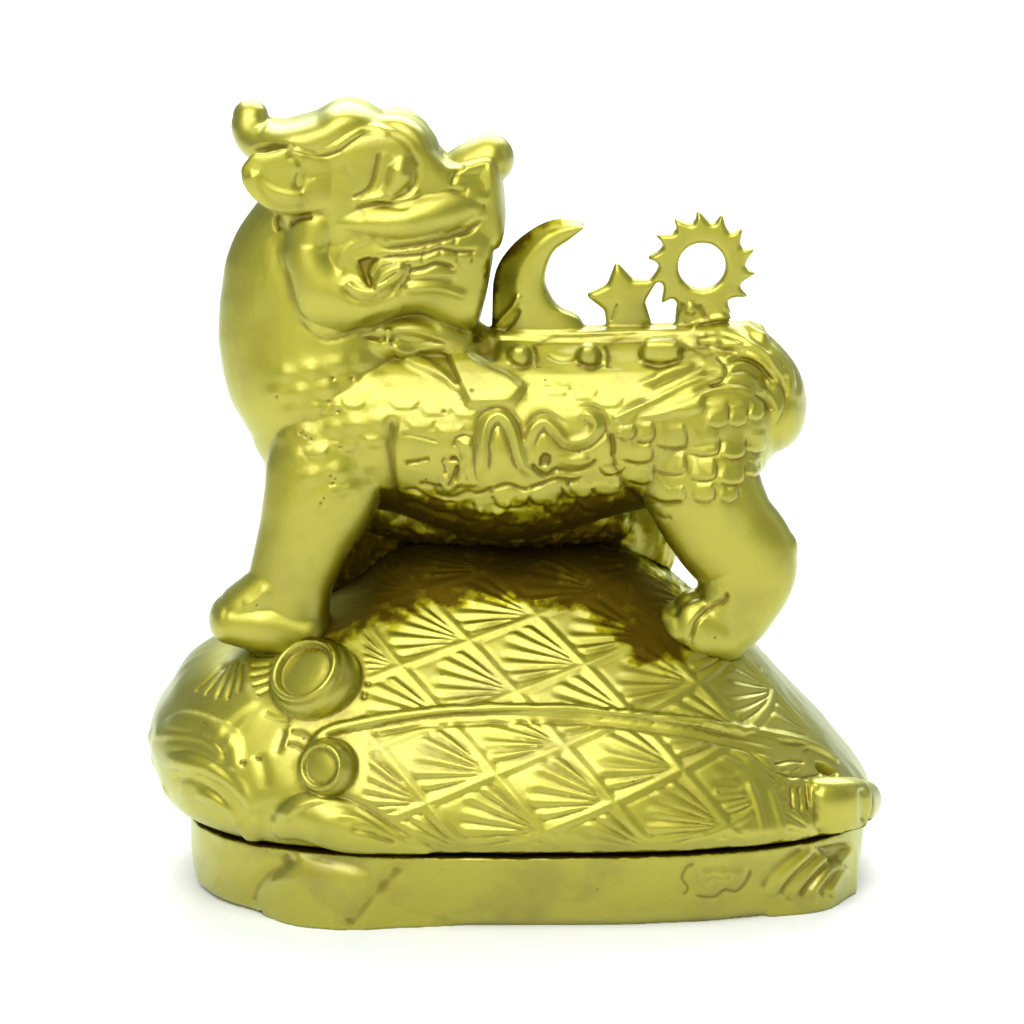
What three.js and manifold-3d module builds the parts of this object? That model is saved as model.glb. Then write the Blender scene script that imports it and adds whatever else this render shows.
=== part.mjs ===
// A small cast brass qilin that looks back over its own shoulder. A crescent moon, a star and a sun
// stand on its spine. It stands on the lid of a little box, and lid and box together have the form of
// a soft bundle: rolls of patterned cloth with round ends, tucked between folded leaves.
// Millimetres, +Z up. The animal's chest is at -X, its tail at +X, and it is seen from -Y.
// The origin is on the surface that the box stands on, under the middle of the whole piece.
import * as THREE from "three";
import { mergeVertices } from "three/addons/utils/BufferGeometryUtils.js";
import Module from "manifold-3d";

// Driving dimensions in millimetres.
const BUNDLE_LENGTH = 66; // lid and box, left to right
const BUNDLE_DEPTH = 40; // front to back
const BOX_HEIGHT = 6.8; // lower half, from the table to its rim
const SEAM = 0.4; // open joint between the box and its lid
const LID_HEIGHT = 23.4; // from the lid's rim to the crown under the belly
const CROWN_BACK = 2.5; // the crown lies this far behind the middle
const STANDING = 0.6; // share of the lid's height at which the lowest sole stands
const WALL = 2.2; // cast wall of lid and box
const FLOOR = 1.8; // floor of the box
const LIP_WIDTH = 1; // thin upstand inside the box rim that keeps the lid in place
const LIP_HEIGHT = 1;
const LIP_CLEARANCE = 0.8; // between the upstand and the lid's wall
const FIGURE_HEIGHT = 50; // from the lowest foot to the top of the crest
const FOOT_GAP = 0.38; // braze line between the feet and the lid
const MOON_THICKNESS = 3.2;
const EMBLEM_THICKNESS = 1.6; // of star and sun
const SUN_RADIUS = 4.9; // to the tips of its points
const SUN_HOLE_RADIUS = 2.1;
const SUN_POINT_PITCH = 2.2; // from tip to tip round the sun
const ROLL_END_RADIUS = 3.9; // large roll end beside the front foot
const SMALL_ROLL_RADIUS = 2.4;
const CLOTH_EDGE = 0.8; // half width of the raised cloth edge across the front of the lid
const KNOB_RADIUS = 2.3; // knob at the lid's right end
const PETAL_WIDTH = 2.3; // half width of the petal over the seam

const wasm = await Module();
wasm.setup();

const brass = new THREE.MeshStandardMaterial({ color: 0xb9b04c, roughness: 0.32, metalness: 1 });
const boxBrass = new THREE.MeshStandardMaterial({ color: 0xaea646, roughness: 0.42, metalness: 1 });

// Turns a closed geometry into a solid that can be joined and cut.
function solid(geometry) {
  const bare = geometry.clone();
  bare.deleteAttribute("normal");
  bare.deleteAttribute("uv");
  const merged = mergeVertices(bare, 1e-4);
  return new wasm.Manifold(
    new wasm.Mesh({
      numProp: 3,
      vertProperties: new Float32Array(merged.attributes.position.array),
      triVerts: new Uint32Array(merged.index.array),
    }),
  );
}

function joined(solids) {
  return solids.reduce((all, one) => all.add(one));
}

function geometryOf(made) {
  const mesh = made.getMesh();
  const geometry = new THREE.BufferGeometry();
  geometry.setAttribute("position", new THREE.BufferAttribute(new Float32Array(mesh.vertProperties), 3));
  geometry.setIndex(new THREE.BufferAttribute(new Uint32Array(mesh.triVerts), 1));
  return geometry;
}

// Closed skin over rings of points, all with the same count, with one point at each end.
function skinned(firstPole, rings, lastPole) {
  const count = rings[0].length;
  const points = [firstPole, ...rings.flat(), lastPole];
  const faces = [];
  const at = (ring, i) => 1 + ring * count + (i % count);
  for (let i = 0; i < count; i++) {
    faces.push(0, at(0, i + 1), at(0, i));
    faces.push(points.length - 1, at(rings.length - 1, i), at(rings.length - 1, i + 1));
    for (let ring = 0; ring + 1 < rings.length; ring++) {
      faces.push(at(ring, i), at(ring, i + 1), at(ring + 1, i + 1));
      faces.push(at(ring, i), at(ring + 1, i + 1), at(ring + 1, i));
    }
  }
  const geometry = new THREE.BufferGeometry().setFromPoints(points);
  geometry.setIndex(faces);
  return geometry;
}

// A limb is a closed round-ended body carried along a smooth path. Each station is
// [x, y, z, half height, half depth], by default in hundredths of the figure's height; half height
// is measured in the animal's own upright plane and half depth across it. "square" above 2
// flattens the sides, and "cap" is how far the round ends bulge, drawn with "domes" rings each.
const PER_CENT = FIGURE_HEIGHT / 100;

function limb(
  stations,
  { sides = 12, steps = 10, square = 2, cap = 0.8, domes = 2, unit = PER_CENT } = {},
) {
  const path = new THREE.CatmullRomCurve3(
    stations.map(([x, y, z]) => new THREE.Vector3(x, y, z).multiplyScalar(unit)),
    false,
    "catmullrom",
  );
  const widths = new THREE.CatmullRomCurve3(
    stations.map(([, , , height, depth]) => new THREE.Vector3(height, depth, 0).multiplyScalar(unit)),
    false,
    "catmullrom",
  );
  const across = new THREE.Vector3(0, 1, 0);
  const ringAt = (t, turn) => {
    const tangent = path.getTangent(t);
    const side = across.clone().addScaledVector(tangent, -across.dot(tangent)).normalize();
    const up = new THREE.Vector3().crossVectors(tangent, side);
    const half = widths.getPoint(t);
    const reach = Math.min(half.x, half.y) * cap * Math.sin(turn);
    const centre = path.getPoint(t).addScaledVector(tangent, reach);
    if (Math.abs(Math.cos(turn)) < 1e-6) return centre;
    const ring = [];
    for (let i = 0; i < sides; i++) {
      const angle = (-2 * Math.PI * i) / sides;
      const c = Math.cos(angle);
      const s = Math.sin(angle);
      const rise = Math.sign(c) * Math.abs(c) ** (2 / square) * half.x * Math.cos(turn);
      const span = Math.sign(s) * Math.abs(s) ** (2 / square) * half.y * Math.cos(turn);
      ring.push(centre.clone().addScaledVector(up, rise).addScaledVector(side, span));
    }
    return ring;
  };
  const rings = [];
  for (let k = domes; k > 0; k--) rings.push(ringAt(0, (-k / (domes + 1)) * (Math.PI / 2)));
  for (let k = 0; k <= steps; k++) rings.push(ringAt(k / steps, 0));
  for (let k = 1; k <= domes; k++) rings.push(ringAt(1, (k / (domes + 1)) * (Math.PI / 2)));
  return solid(skinned(ringAt(0, -Math.PI / 2), rings, ringAt(1, Math.PI / 2)));
}

// The same limb on the near side and on the far side of the animal.
function pair(stations, options) {
  const far = stations.map(([x, y, z, height, depth]) => [x, -y, z, height, depth]);
  return limb(stations, options).add(limb(far, options));
}

// Trunk, neck and chest, with the mane that fills the hollow between the chin and the back.
function trunk() {
  const barrel = [
    [-40, 0, 40, 9, 10],
    [-32, 0, 40.5, 14.5, 14],
    [-20, 0, 40, 15.5, 15.5],
    [-2, 0, 38, 18.6, 16.5],
    [16, 0, 40, 16.2, 16],
    [32, 0, 42, 14.6, 15.5],
    [41.5, 0, 43.5, 12.5, 13],
    [45, 0, 44, 9, 9.5],
  ];
  const neck = [
    [-35, 0, 34, 10, 10],
    [-34.5, 0, 45, 15.5, 13],
    [-35, 0, 57, 17, 11.6],
    [-36, 0, 68, 14.6, 10.4],
    [-34.5, 0, 78, 11, 9],
  ];
  const mane = [
    [-29, 0, 55, 6, 10],
    [-18, 0, 57.4, 5.6, 9.4],
    [-9, 0, 55.6, 4, 7.6],
    [-3, 0, 54.6, 2.4, 5],
  ];
  return joined([
    limb(barrel, { sides: 16, steps: 10 }),
    limb(neck, { sides: 14, steps: 6 }),
    limb(mane, { sides: 8, steps: 4, domes: 1 }),
  ]);
}

// Head in profile, turned back over the trunk: skull and snout, upturned nose, closed square
// muzzle with a chin that reaches down, and swellings for lip, brow, eye and ear.
function head() {
  const skull = [
    [-38, 0, 75, 11, 10.5],
    [-31, 0, 77, 13.5, 13],
    [-23, 0, 79, 13.8, 13],
    [-16.5, 0, 80, 11.6, 11.8],
    [-11, 0, 80, 7.8, 10.2],
    [-4, 0, 80.6, 8.2, 8.2],
  ];
  const nose = [
    [-8.6, 0, 85.6, 4.6, 6.6],
    [-4, 0, 88, 4.4, 5.8],
  ];
  const muzzle = [
    [-36, 0, 69, 10.5, 11],
    [-30, 0, 68.8, 11.6, 13.4],
    [-17, 0, 70.4, 9.6, 12.8],
    [-8, 0, 68.4, 11, 10.4],
    [-5.6, 0, 68, 11, 9.4],
  ];
  const lip = [
    [-27, -9.8, 76.4, 3, 3.2],
    [-18, -10.4, 76.4, 3.8, 3.4],
    [-10, -8.6, 78, 3.8, 3.2],
    [-5, -6.2, 79.8, 3.2, 2.6],
  ];
  const brow = [
    [-28, -9.4, 88, 2.2, 2.6],
    [-25, -9.4, 91.6, 2.8, 3.2],
    [-20, -9, 92.4, 2.8, 3.2],
    [-16, -8.6, 89.6, 2.4, 2.8],
    [-14.6, -8.4, 85.4, 1.6, 2.2],
  ];
  const eye = [
    [-21.4, -10.2, 83, 3, 3],
    [-20.4, -10.4, 86.8, 3.2, 3.4],
  ];
  const ear = [
    [-27.5, -12, 85.6, 4, 1.8],
    [-33, -13.6, 85.2, 5, 2],
    [-39, -14.2, 85.8, 5.5, 1.8],
    [-43.6, -13.8, 87, 4, 1.4],
  ];
  const earHollow = [
    [-32.5, -16.2, 86.4, 2.2, 1.7],
    [-38.5, -16.6, 86.8, 2.6, 1.7],
  ];
  const mouthLine = [
    [-23.5, -12.9, 73.6, 0.7, 1.6],
    [-14, -12.2, 74, 0.7, 1.6],
    [-5, -9.4, 74.2, 0.7, 1.8],
  ];
  const solids = [
    limb(skull, { sides: 14, steps: 8, square: 2.3, cap: 0.3, domes: 1 }),
    limb(nose, { sides: 10, steps: 1, cap: 0.9 }),
    limb(muzzle, { sides: 12, steps: 6, square: 3, cap: 0.15, domes: 1 }),
    pair(lip, { sides: 6, steps: 4, domes: 1 }),
    pair(brow, { sides: 6, steps: 5, domes: 1 }),
    pair(eye, { sides: 8, steps: 1 }),
    pair(ear, { sides: 8, steps: 4, domes: 1 }),
  ];
  const hollows = [
    pair(earHollow, { sides: 6, steps: 1, domes: 1 }),
    pair(mouthLine, { sides: 4, steps: 2, domes: 0 }),
  ];
  return joined(solids).subtract(joined(hollows));
}

// The crest is one thick lock that sweeps back from the brow and turns up in a ball.
function crest() {
  const lock = [
    [-46.6, 0, 95.2, 3.2, 4],
    [-45.6, 0, 91.4, 3.8, 5.2],
    [-40, 0, 89.8, 4, 7],
    [-33.6, 0, 91.8, 4.2, 8],
    [-29, 0, 93.8, 4.4, 8],
    [-24, 0, 91.4, 4, 7.5],
  ];
  return limb(lock, { sides: 12, steps: 8, cap: 0.9 });
}

// The bundle is drawn by four upright profiles, at its left, right, front and back. Each row is
// [reach, height], as shares of the half length or half depth and of the height of the half.
const LID_LEFT = [
  [0.89, 0],
  [0.96, 0.07],
  [1, 0.27],
  [0.95, 0.42],
  [0.87, 0.55],
  [0.67, 0.67],
  [0.45, 0.82],
  [0.3, 0.965],
  [0, 1],
];
const LID_RIGHT = [
  [0.985, 0],
  [0.975, 0.06],
  [0.93, 0.15],
  [0.86, 0.27],
  [0.77, 0.4],
  [0.66, 0.57],
  [0.51, 0.76],
  [0.31, 0.95],
  [0, 1],
];
const LID_FRONT = [
  [0.96, 0],
  [1, 0.07],
  [0.97, 0.2],
  [0.91, 0.33],
  [0.81, 0.46],
  [0.66, 0.61],
  [0.47, 0.78],
  [0.27, 0.93],
  [0, 1],
];
const BOX_LEFT = [[0.855, 0], [0.88, 0.12], [0.89, 0.5], [0.89, 1]];
const BOX_RIGHT = [[0.92, 0], [0.945, 0.15], [0.96, 0.6], [0.965, 1]];
const BOX_FRONT = [[0.84, 0], [0.88, 0.15], [0.925, 0.5], [0.945, 1]];

function profileAt(rows, t) {
  const curve = new THREE.CatmullRomCurve3(
    rows.map(([reach, height]) => new THREE.Vector3(reach, height, 0)),
    false,
    "catmullrom",
  );
  return curve.getPoint(t);
}

// A point on the bundle's skin. turn runs round it from +X towards +Y, t up the profile, and
// inset moves the point inwards by the wall.
function bundlePoint([left, right, front], turn, t, bottom, height, inset, drop) {
  const c = Math.cos(turn);
  const s = Math.sin(turn);
  const end = profileAt(c < 0 ? left : right, t);
  const face = profileAt(front, t);
  const halfLength = Math.max((end.x * BUNDLE_LENGTH) / 2 - inset, 0);
  const halfDepth = Math.max((face.x * BUNDLE_DEPTH) / 2 - inset, 0);
  const power = 2.8;
  const reach =
    halfLength * halfDepth === 0
      ? 0
      : (Math.abs(c / halfLength) ** power + Math.abs(s / halfDepth) ** power) ** (-1 / power);
  const level = c * c * end.y + s * s * face.y;
  const back = bottom > 0 ? CROWN_BACK * level * level : 0;
  return new THREE.Vector3(reach * c, reach * s + back, bottom + level * height - drop);
}

const SIDES_ROUND = 44;

function bundleRing(profiles, t, bottom, height, inset = 0, drop = 0) {
  const ring = [];
  for (let i = 0; i < SIDES_ROUND; i++) {
    const turn = (2 * Math.PI * i) / SIDES_ROUND;
    ring.push(bundlePoint(profiles, turn, t, bottom, height, inset, drop));
  }
  return ring;
}

const LID_PROFILES = [LID_LEFT, LID_RIGHT, LID_FRONT];
const BOX_PROFILES = [BOX_LEFT, BOX_RIGHT, BOX_FRONT];
const LID_BOTTOM = BOX_HEIGHT + SEAM;
const STANDING_HEIGHT = LID_BOTTOM + LID_HEIGHT * STANDING;

function level(ring, z) {
  return ring.map((p) => new THREE.Vector3(p.x, p.y, z));
}

// The lid's form as a full solid, with its skin moved inwards by a depth or outwards by a negative
// one. "below" carries it down past the rim.
function lidForm(depth, levels, below = 0) {
  const rings = [];
  const ringAt = (t) => {
    const lean = (Math.PI / 2) * t;
    const inset = depth * Math.cos(lean);
    return bundleRing(LID_PROFILES, t, LID_BOTTOM, LID_HEIGHT, inset, depth * Math.sin(lean));
  };
  const foot = LID_BOTTOM - below;
  if (below > 0) rings.push(level(ringAt(0), foot));
  for (let k = 0; k < levels; k++) rings.push(ringAt(k / levels));
  const crown = bundlePoint(LID_PROFILES, 0, 1, LID_BOTTOM, LID_HEIGHT, 0, depth);
  return solid(skinned(new THREE.Vector3(0, 0, foot), rings, crown));
}

// A point of the lid's skin, by its angle round the bundle in degrees and its share t of the
// profile, sunk by a depth.
function onLid(degrees, t, depth) {
  const turn = (degrees * Math.PI) / 180;
  return bundlePoint(LID_PROFILES, turn, t, LID_BOTTOM, LID_HEIGHT, depth, 0).toArray();
}

function onBox(degrees, t, depth) {
  const turn = (degrees * Math.PI) / 180;
  return bundlePoint(BOX_PROFILES, turn, t, 0, BOX_HEIGHT, depth, 0).toArray();
}

// Height of the lid's skin straight above or below a point of the plan: t is halved until the skin
// lies as far out as the point does.
function lidHeightAt(x, y) {
  const skinAt = (t) => {
    const level = (onLid((Math.atan2(y, x) * 180) / Math.PI, t, 0)[2] - LID_BOTTOM) / LID_HEIGHT;
    return onLid((Math.atan2(y - CROWN_BACK * level * level, x) * 180) / Math.PI, t, 0);
  };
  let low = 0;
  let high = 1;
  for (let i = 0; i < 24; i++) {
    const t = (low + high) / 2;
    if (Math.abs(skinAt(t)[0]) > Math.abs(x)) low = t;
    else high = t;
  }
  return skinAt(low)[2];
}

// Near fore leg upright, far fore leg set back; the hind pair stand with bent hocks. A leg is moved
// by x, and its last station lies "sunk" under the lid's skin, which cuts the sole.
function legs() {
  const lift = (x, y, sunk) =>
    (lidHeightAt(x * PER_CENT, y * PER_CENT) - STANDING_HEIGHT) / PER_CENT - sunk;
  const fore = (x, y, z) => [
    limb(
      [
        [-33 + x, y * 0.6, 43 + z, 8.5, 7],
        [-33.5 + x, y * 0.86, 31 + z, 10.6, 7.4],
        [-37 + x, y, 19 + z, 7.4, 6.2],
        [-39.5 + x, y, 11 + z, 6.6, 5.8],
        [-40.5 + x, y, 3 + z, 7, 6.4],
      ],
      { sides: 10, steps: 6, square: 2.3 },
    ),
    limb(
      [
        [-37 + x, y, 4.6 + z, 4.6, 6.8],
        [-43 + x, y, 6 + z, 5.2, 7.2],
        [-49.5 + x, y, 7 + z, 4, 6.4],
      ],
      { sides: 8, steps: 3, square: 2.3, cap: 0.9 },
    ),
  ];
  const hind = (x, y, z) => [
    limb(
      [
        [33 + x, y * 0.6, 42 + z, 12, 8],
        [35 + x, y * 0.9, 31 + z, 11.3, 8],
        [41 + x, y, 21 + z, 10, 6.8],
        [42.6 + x, y, 14.5 + z, 8.4, 6.2],
        [38.6 + x, y, 6 + z, 8.2, 6.4],
        [35.6 + x, y, 0 + z, 7.4, 6.8],
      ],
      { sides: 10, steps: 8, square: 2.3 },
    ),
    limb(
      [
        [36 + x, y, 5 + z, 5.4, 7],
        [31.5 + x, y, 5.5 + z, 5.6, 7.2],
        [30.5 + x, y, 2.5 + z, 4.6, 6.4],
      ],
      { sides: 8, steps: 3, square: 2.3 },
    ),
  ];
  return joined([
    ...fore(0, -9.5, lift(-40.5, -9.5, 2.5)),
    ...fore(14, 9.5, lift(-26.5, 9.5, 12)),
    ...hind(0, -9.5, lift(35.6, -9.5, 3.8)),
    ...hind(-17, 9.5, lift(18.6, 9.5, 16.4)),
  ]);
}

// Tail laid up over the rump, spine ledge, and the row of knobs beside the ledge.
function spine() {
  const tail = [
    [30, 0, 55.4, 2.4, 5],
    [37.5, 0, 55.6, 3.2, 7],
    [44.2, 0, 52.6, 3.5, 8],
    [48.4, 0, 46.6, 3.4, 7.5],
    [47.4, 0, 40.6, 3, 6],
    [44, 0, 35, 2, 4],
  ];
  const ledge = [
    [-6, 0, 55.6, 1.6, 4],
    [12, 0, 56.2, 1.6, 4],
    [34, 0, 56.6, 1.6, 4],
  ];
  const knob = (x, z) => [
    [x, -7.5, z - 1.4, 2.6, 2.4],
    [x - 0.4, -10.2, z + 1.2, 2.4, 2.2],
  ];
  return joined([
    limb(tail, { sides: 10, steps: 7 }),
    limb(ledge, { sides: 8, steps: 3, square: 4, cap: 0.3, domes: 1 }),
    pair(knob(2.8, 53.4), { sides: 7, steps: 1, domes: 1 }),
    pair(knob(15.2, 53.6), { sides: 7, steps: 1, domes: 1 }),
    pair(knob(27.5, 54.4), { sides: 7, steps: 1, domes: 1 }),
  ]);
}

// A flat outline in the animal's upright plane, given a thickness with softened edges.
function plate(outline, thickness) {
  const edge = Math.min(thickness * 0.15, 0.3);
  const geometry = new THREE.ExtrudeGeometry(outline, {
    depth: thickness - 2 * edge,
    bevelEnabled: true,
    bevelThickness: edge,
    bevelSize: edge,
    bevelOffset: -edge,
    bevelSegments: 1,
    curveSegments: 9,
  });
  geometry.translate(0, 0, edge - thickness / 2).rotateX(Math.PI / 2);
  return solid(geometry);
}

// Moon, star and sun stand in a row on the spine.
function emblems() {
  const unit = FIGURE_HEIGHT / 100;
  const at = (x, z) => new THREE.Vector2(x * unit, z * unit);
  const moonBack = new THREE.SplineCurve([
    at(-4, 55),
    at(-4, 65.6),
    at(-2.5, 69.6),
    at(-0.2, 72.4),
    at(5, 76.4),
    at(8.8, 77.1),
    at(12, 76.4),
  ]);
  const moonHollow = new THREE.SplineCurve([
    at(11.9, 74.6),
    at(9.4, 73.3),
    at(6.9, 71.3),
    at(5.5, 67),
    at(6.2, 64),
    at(8.2, 61.2),
    at(11.7, 59.2),
    at(14, 55),
  ]);
  const moon = new THREE.Shape([...moonBack.getSpacedPoints(12), ...moonHollow.getSpacedPoints(11)]);
  const starRim = [];
  const starCentre = at(19.6, 62.8);
  const starTurn = 0.2;
  for (let i = 0; i < 10; i++) {
    const angle = Math.PI / 2 + starTurn + (i * Math.PI) / 5;
    const reach = (i % 2 ? 3.5 : 6.6) * unit;
    starRim.push(new THREE.Vector2(
      starCentre.x + reach * Math.cos(angle),
      starCentre.y + reach * Math.sin(angle),
    ));
  }
  const starFoot = new THREE.Shape([at(16.6, 55), at(23.2, 55), at(22.8, 62), at(16.6, 61)]);
  const sunCentre = at(33.2, 68.8);
  const points = Math.round((2 * Math.PI * SUN_RADIUS) / SUN_POINT_PITCH);
  const rim = [];
  for (let i = 0; i < 2 * points; i++) {
    const angle = Math.PI * (i / points) + 0.12;
    const reach = i % 2 ? SUN_RADIUS * 0.79 : SUN_RADIUS;
    rim.push(new THREE.Vector2(
      sunCentre.x + reach * Math.cos(angle),
      sunCentre.y + reach * Math.sin(angle),
    ));
  }
  const sun = new THREE.Shape(rim);
  const hole = new THREE.Path();
  hole.absarc(sunCentre.x, sunCentre.y, SUN_HOLE_RADIUS, 0, 2 * Math.PI, true);
  sun.holes.push(hole);
  const sunFoot = new THREE.Shape([at(28, 55), at(39, 55), at(37.4, 62.6), at(28.6, 62.6)]);
  return joined([
    plate(moon, MOON_THICKNESS),
    plate(new THREE.Shape(starRim), EMBLEM_THICKNESS),
    plate(starFoot, EMBLEM_THICKNESS),
    plate(sun, EMBLEM_THICKNESS),
    plate(sunFoot, EMBLEM_THICKNESS),
  ]);
}

// The round end of a cloth roll: a raised ring around a shallow dished disc, facing outwards.
function rollEnd([x, y, z], [ax, ay, az], radius) {
  const rows = [
    [0.96, -1],
    [1, 0.12],
    [0.91, 0.38],
    [0.78, 0.4],
    [0.68, 0.24],
    [0.58, 0.3],
  ];
  const sides = 16;
  const axis = new THREE.Vector3(ax, ay, az).normalize();
  const turn = new THREE.Quaternion().setFromUnitVectors(new THREE.Vector3(0, 0, 1), axis);
  const put = (r, h, angle) =>
    new THREE.Vector3(r * Math.cos(angle), r * Math.sin(angle), h)
      .multiplyScalar(radius)
      .applyQuaternion(turn)
      .add(new THREE.Vector3(x, y, z));
  const rings = rows.map(([r, h]) => {
    const ring = [];
    for (let i = 0; i < sides; i++) ring.push(put(r, h, (2 * Math.PI * i) / sides));
    return ring;
  });
  return solid(skinned(put(0, -1, 0), rings, put(0, 0.34, 0)));
}

function slab(bottom, top) {
  const size = 2 * BUNDLE_LENGTH;
  const geometry = new THREE.BoxGeometry(size, size, top - bottom);
  return solid(geometry.translate(0, 0, (bottom + top) / 2));
}

// Lid: the mound with its raised cloth edge, two roll ends, the knob at the right end and the
// petal over the seam, hollowed from below by the wall.
function lid() {
  const clothEdge = [
    [-136.3, 0.35, 0.75],
    [-135, 0.42, 0.9],
    [-128.8, 0.465, 1],
    [-109, 0.525, 1],
    [-74.7, 0.535, 1],
    [-40.8, 0.505, 1],
    [-21.5, 0.41, 0.9],
    [-15, 0.32, 0.65],
  ].map(([degrees, t, share]) => {
    const half = share * CLOTH_EDGE;
    return [...onLid(degrees, t, 0), half, half];
  });
  const petal = [
    [...onLid(-139.3, 0.135, 1.1), 0.7 * PETAL_WIDTH, 0.5 * PETAL_WIDTH],
    [...onLid(-128.5, 0.16, 1.1), PETAL_WIDTH, 0.78 * PETAL_WIDTH],
    [...onLid(-115, 0.05, 0.4), 0.5 * PETAL_WIDTH, 0.4 * PETAL_WIDTH],
  ];
  const knob = [
    [...onLid(-23.5, 0.195, 0.9), KNOB_RADIUS, 0.85 * KNOB_RADIUS],
    [...onLid(-15.5, 0.135, 0), 0.95 * KNOB_RADIUS, 0.8 * KNOB_RADIUS],
  ];
  const bulges = [
    limb(clothEdge, { sides: 6, steps: 11, domes: 1, unit: 1 }),
    limb(petal, { sides: 8, steps: 3, domes: 1, unit: 1 }),
    limb(knob, { sides: 8, steps: 1, unit: 1 }),
    rollEnd(onLid(-143.5, 0.57, 0), [-0.3, -0.62, 0.72], ROLL_END_RADIUS),
    rollEnd(onLid(-131, 0.32, 0), [-0.34, -0.89, 0.3], SMALL_ROLL_RADIUS),
  ];
  const mound = joined([lidForm(0, 12), ...bulges]).subtract(slab(-10, LID_BOTTOM));
  return mound.subtract(lidForm(WALL, 6, 1));
}

// Box: a shallow tray that follows the lid's outline, with a lobe like a foot at its front left
// and a thin upstand inside its rim that keeps the lid in place.
function box() {
  const outer = 4;
  const rings = [];
  for (let k = 0; k <= outer; k++) rings.push(bundleRing(BOX_PROFILES, k / outer, 0, BOX_HEIGHT));
  const tray = solid(
    skinned(new THREE.Vector3(0, 0, 0), rings, new THREE.Vector3(0, 0, BOX_HEIGHT)),
  );
  const lobe = [
    [...onBox(-143.5, 0.545, 0.9), 0.47 * BOX_HEIGHT, 1.8],
    [...onBox(-134.8, 0.605, 0.6), 0.53 * BOX_HEIGHT, 2],
    [...onBox(-125.5, 0.675, 0.7), 0.38 * BOX_HEIGHT, 1.6],
  ];
  const lobes = limb(lobe, { sides: 10, steps: 4, unit: 1 });
  const body = tray.add(lobes).subtract(slab(-10, 0)).subtract(slab(BOX_HEIGHT, BOX_HEIGHT + 10));
  const lidRim = (inset) => bundleRing(LID_PROFILES, 0, LID_BOTTOM, LID_HEIGHT, inset);
  const wallRing = bundleRing(BOX_PROFILES, 0, 0, BOX_HEIGHT, WALL);
  const block = (ring, bottom, top) =>
    solid(
      skinned(
        new THREE.Vector3(0, 0, bottom),
        [level(ring, bottom), level(ring, top)],
        new THREE.Vector3(0, 0, top),
      ),
    );
  const lip = block(lidRim(WALL + LIP_CLEARANCE), BOX_HEIGHT - 1, BOX_HEIGHT + LIP_HEIGHT);
  const lipInside = lidRim(WALL + LIP_CLEARANCE + LIP_WIDTH);
  const top = BOX_HEIGHT + LIP_HEIGHT + 1;
  const hollow = solid(
    skinned(
      new THREE.Vector3(0, 0, FLOOR),
      [level(wallRing, FLOOR), level(lipInside, BOX_HEIGHT - 2), level(lipInside, top)],
      new THREE.Vector3(0, 0, top),
    ),
  );
  return body.add(lip).subtract(hollow);
}

function node(name, made, material) {
  const mesh = new THREE.Mesh(geometryOf(made), material);
  mesh.name = name;
  return mesh;
}

const group = new THREE.Group();
const figure = joined([trunk(), head(), crest(), legs(), spine(), emblems()])
  .translate([0, 0, STANDING_HEIGHT])
  .subtract(lidForm(-FOOT_GAP, 12));
group.add(node("qilin_figure", figure, brass));
group.add(node("bundle_lid", lid(), brass));
group.add(node("bundle_box", box(), boxBrass));

// The origin stands under the middle of the whole piece.
const middle = new THREE.Box3().setFromObject(group).getCenter(new THREE.Vector3());
for (const mesh of group.children) mesh.geometry.translate(-middle.x, -middle.y, 0);
export default group;
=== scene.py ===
# A small cast brass qilin that looks back over its own shoulder, with a moon, a star and a sun on
# its spine. It stands on the lid of a box, and lid and box together look like a soft bundle.
import math

import bpy
import numpy as np
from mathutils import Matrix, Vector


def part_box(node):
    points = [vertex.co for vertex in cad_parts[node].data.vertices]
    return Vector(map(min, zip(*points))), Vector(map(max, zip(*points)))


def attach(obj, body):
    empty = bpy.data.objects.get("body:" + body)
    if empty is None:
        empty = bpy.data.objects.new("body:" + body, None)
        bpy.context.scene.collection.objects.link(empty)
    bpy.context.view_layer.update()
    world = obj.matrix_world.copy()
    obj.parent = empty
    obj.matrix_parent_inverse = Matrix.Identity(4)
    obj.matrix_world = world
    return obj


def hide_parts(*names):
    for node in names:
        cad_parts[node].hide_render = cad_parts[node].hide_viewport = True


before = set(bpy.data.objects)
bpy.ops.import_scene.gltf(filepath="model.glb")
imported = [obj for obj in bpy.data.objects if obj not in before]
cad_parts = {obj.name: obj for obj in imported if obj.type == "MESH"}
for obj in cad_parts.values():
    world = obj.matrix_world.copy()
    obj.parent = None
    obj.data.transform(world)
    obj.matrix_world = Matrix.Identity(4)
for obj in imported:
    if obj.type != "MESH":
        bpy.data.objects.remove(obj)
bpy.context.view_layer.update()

# Camera. A long lens looks level along +Y from 12 degrees above. Its picture, 1024 by 1024, is also
# the drawing on which the carving is laid out: a line or an outline of the carving is a list of
# places on that drawing, and it is pressed into whatever faces the drawing there.
MM = 0.001
LENS = 135.0
SENSOR = 36.0
AIM = np.array([0.0, 0.0, 33.3])
EYE_DISTANCE = 345.0
EYE_RISE = math.radians(12)
SIGHT = np.array([0.0, math.cos(EYE_RISE), -math.sin(EYE_RISE)])
EYE = AIM - EYE_DISTANCE * SIGHT

camera = bpy.data.objects.new("camera", bpy.data.cameras.new("camera"))
camera.data.lens = LENS
camera.data.sensor_width = SENSOR
camera.data.clip_start = 0.01
camera.location = EYE * MM
camera.rotation_euler = (math.pi / 2 - EYE_RISE, 0, 0)
bpy.context.scene.collection.objects.link(camera)
bpy.context.scene.camera = camera

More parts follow.
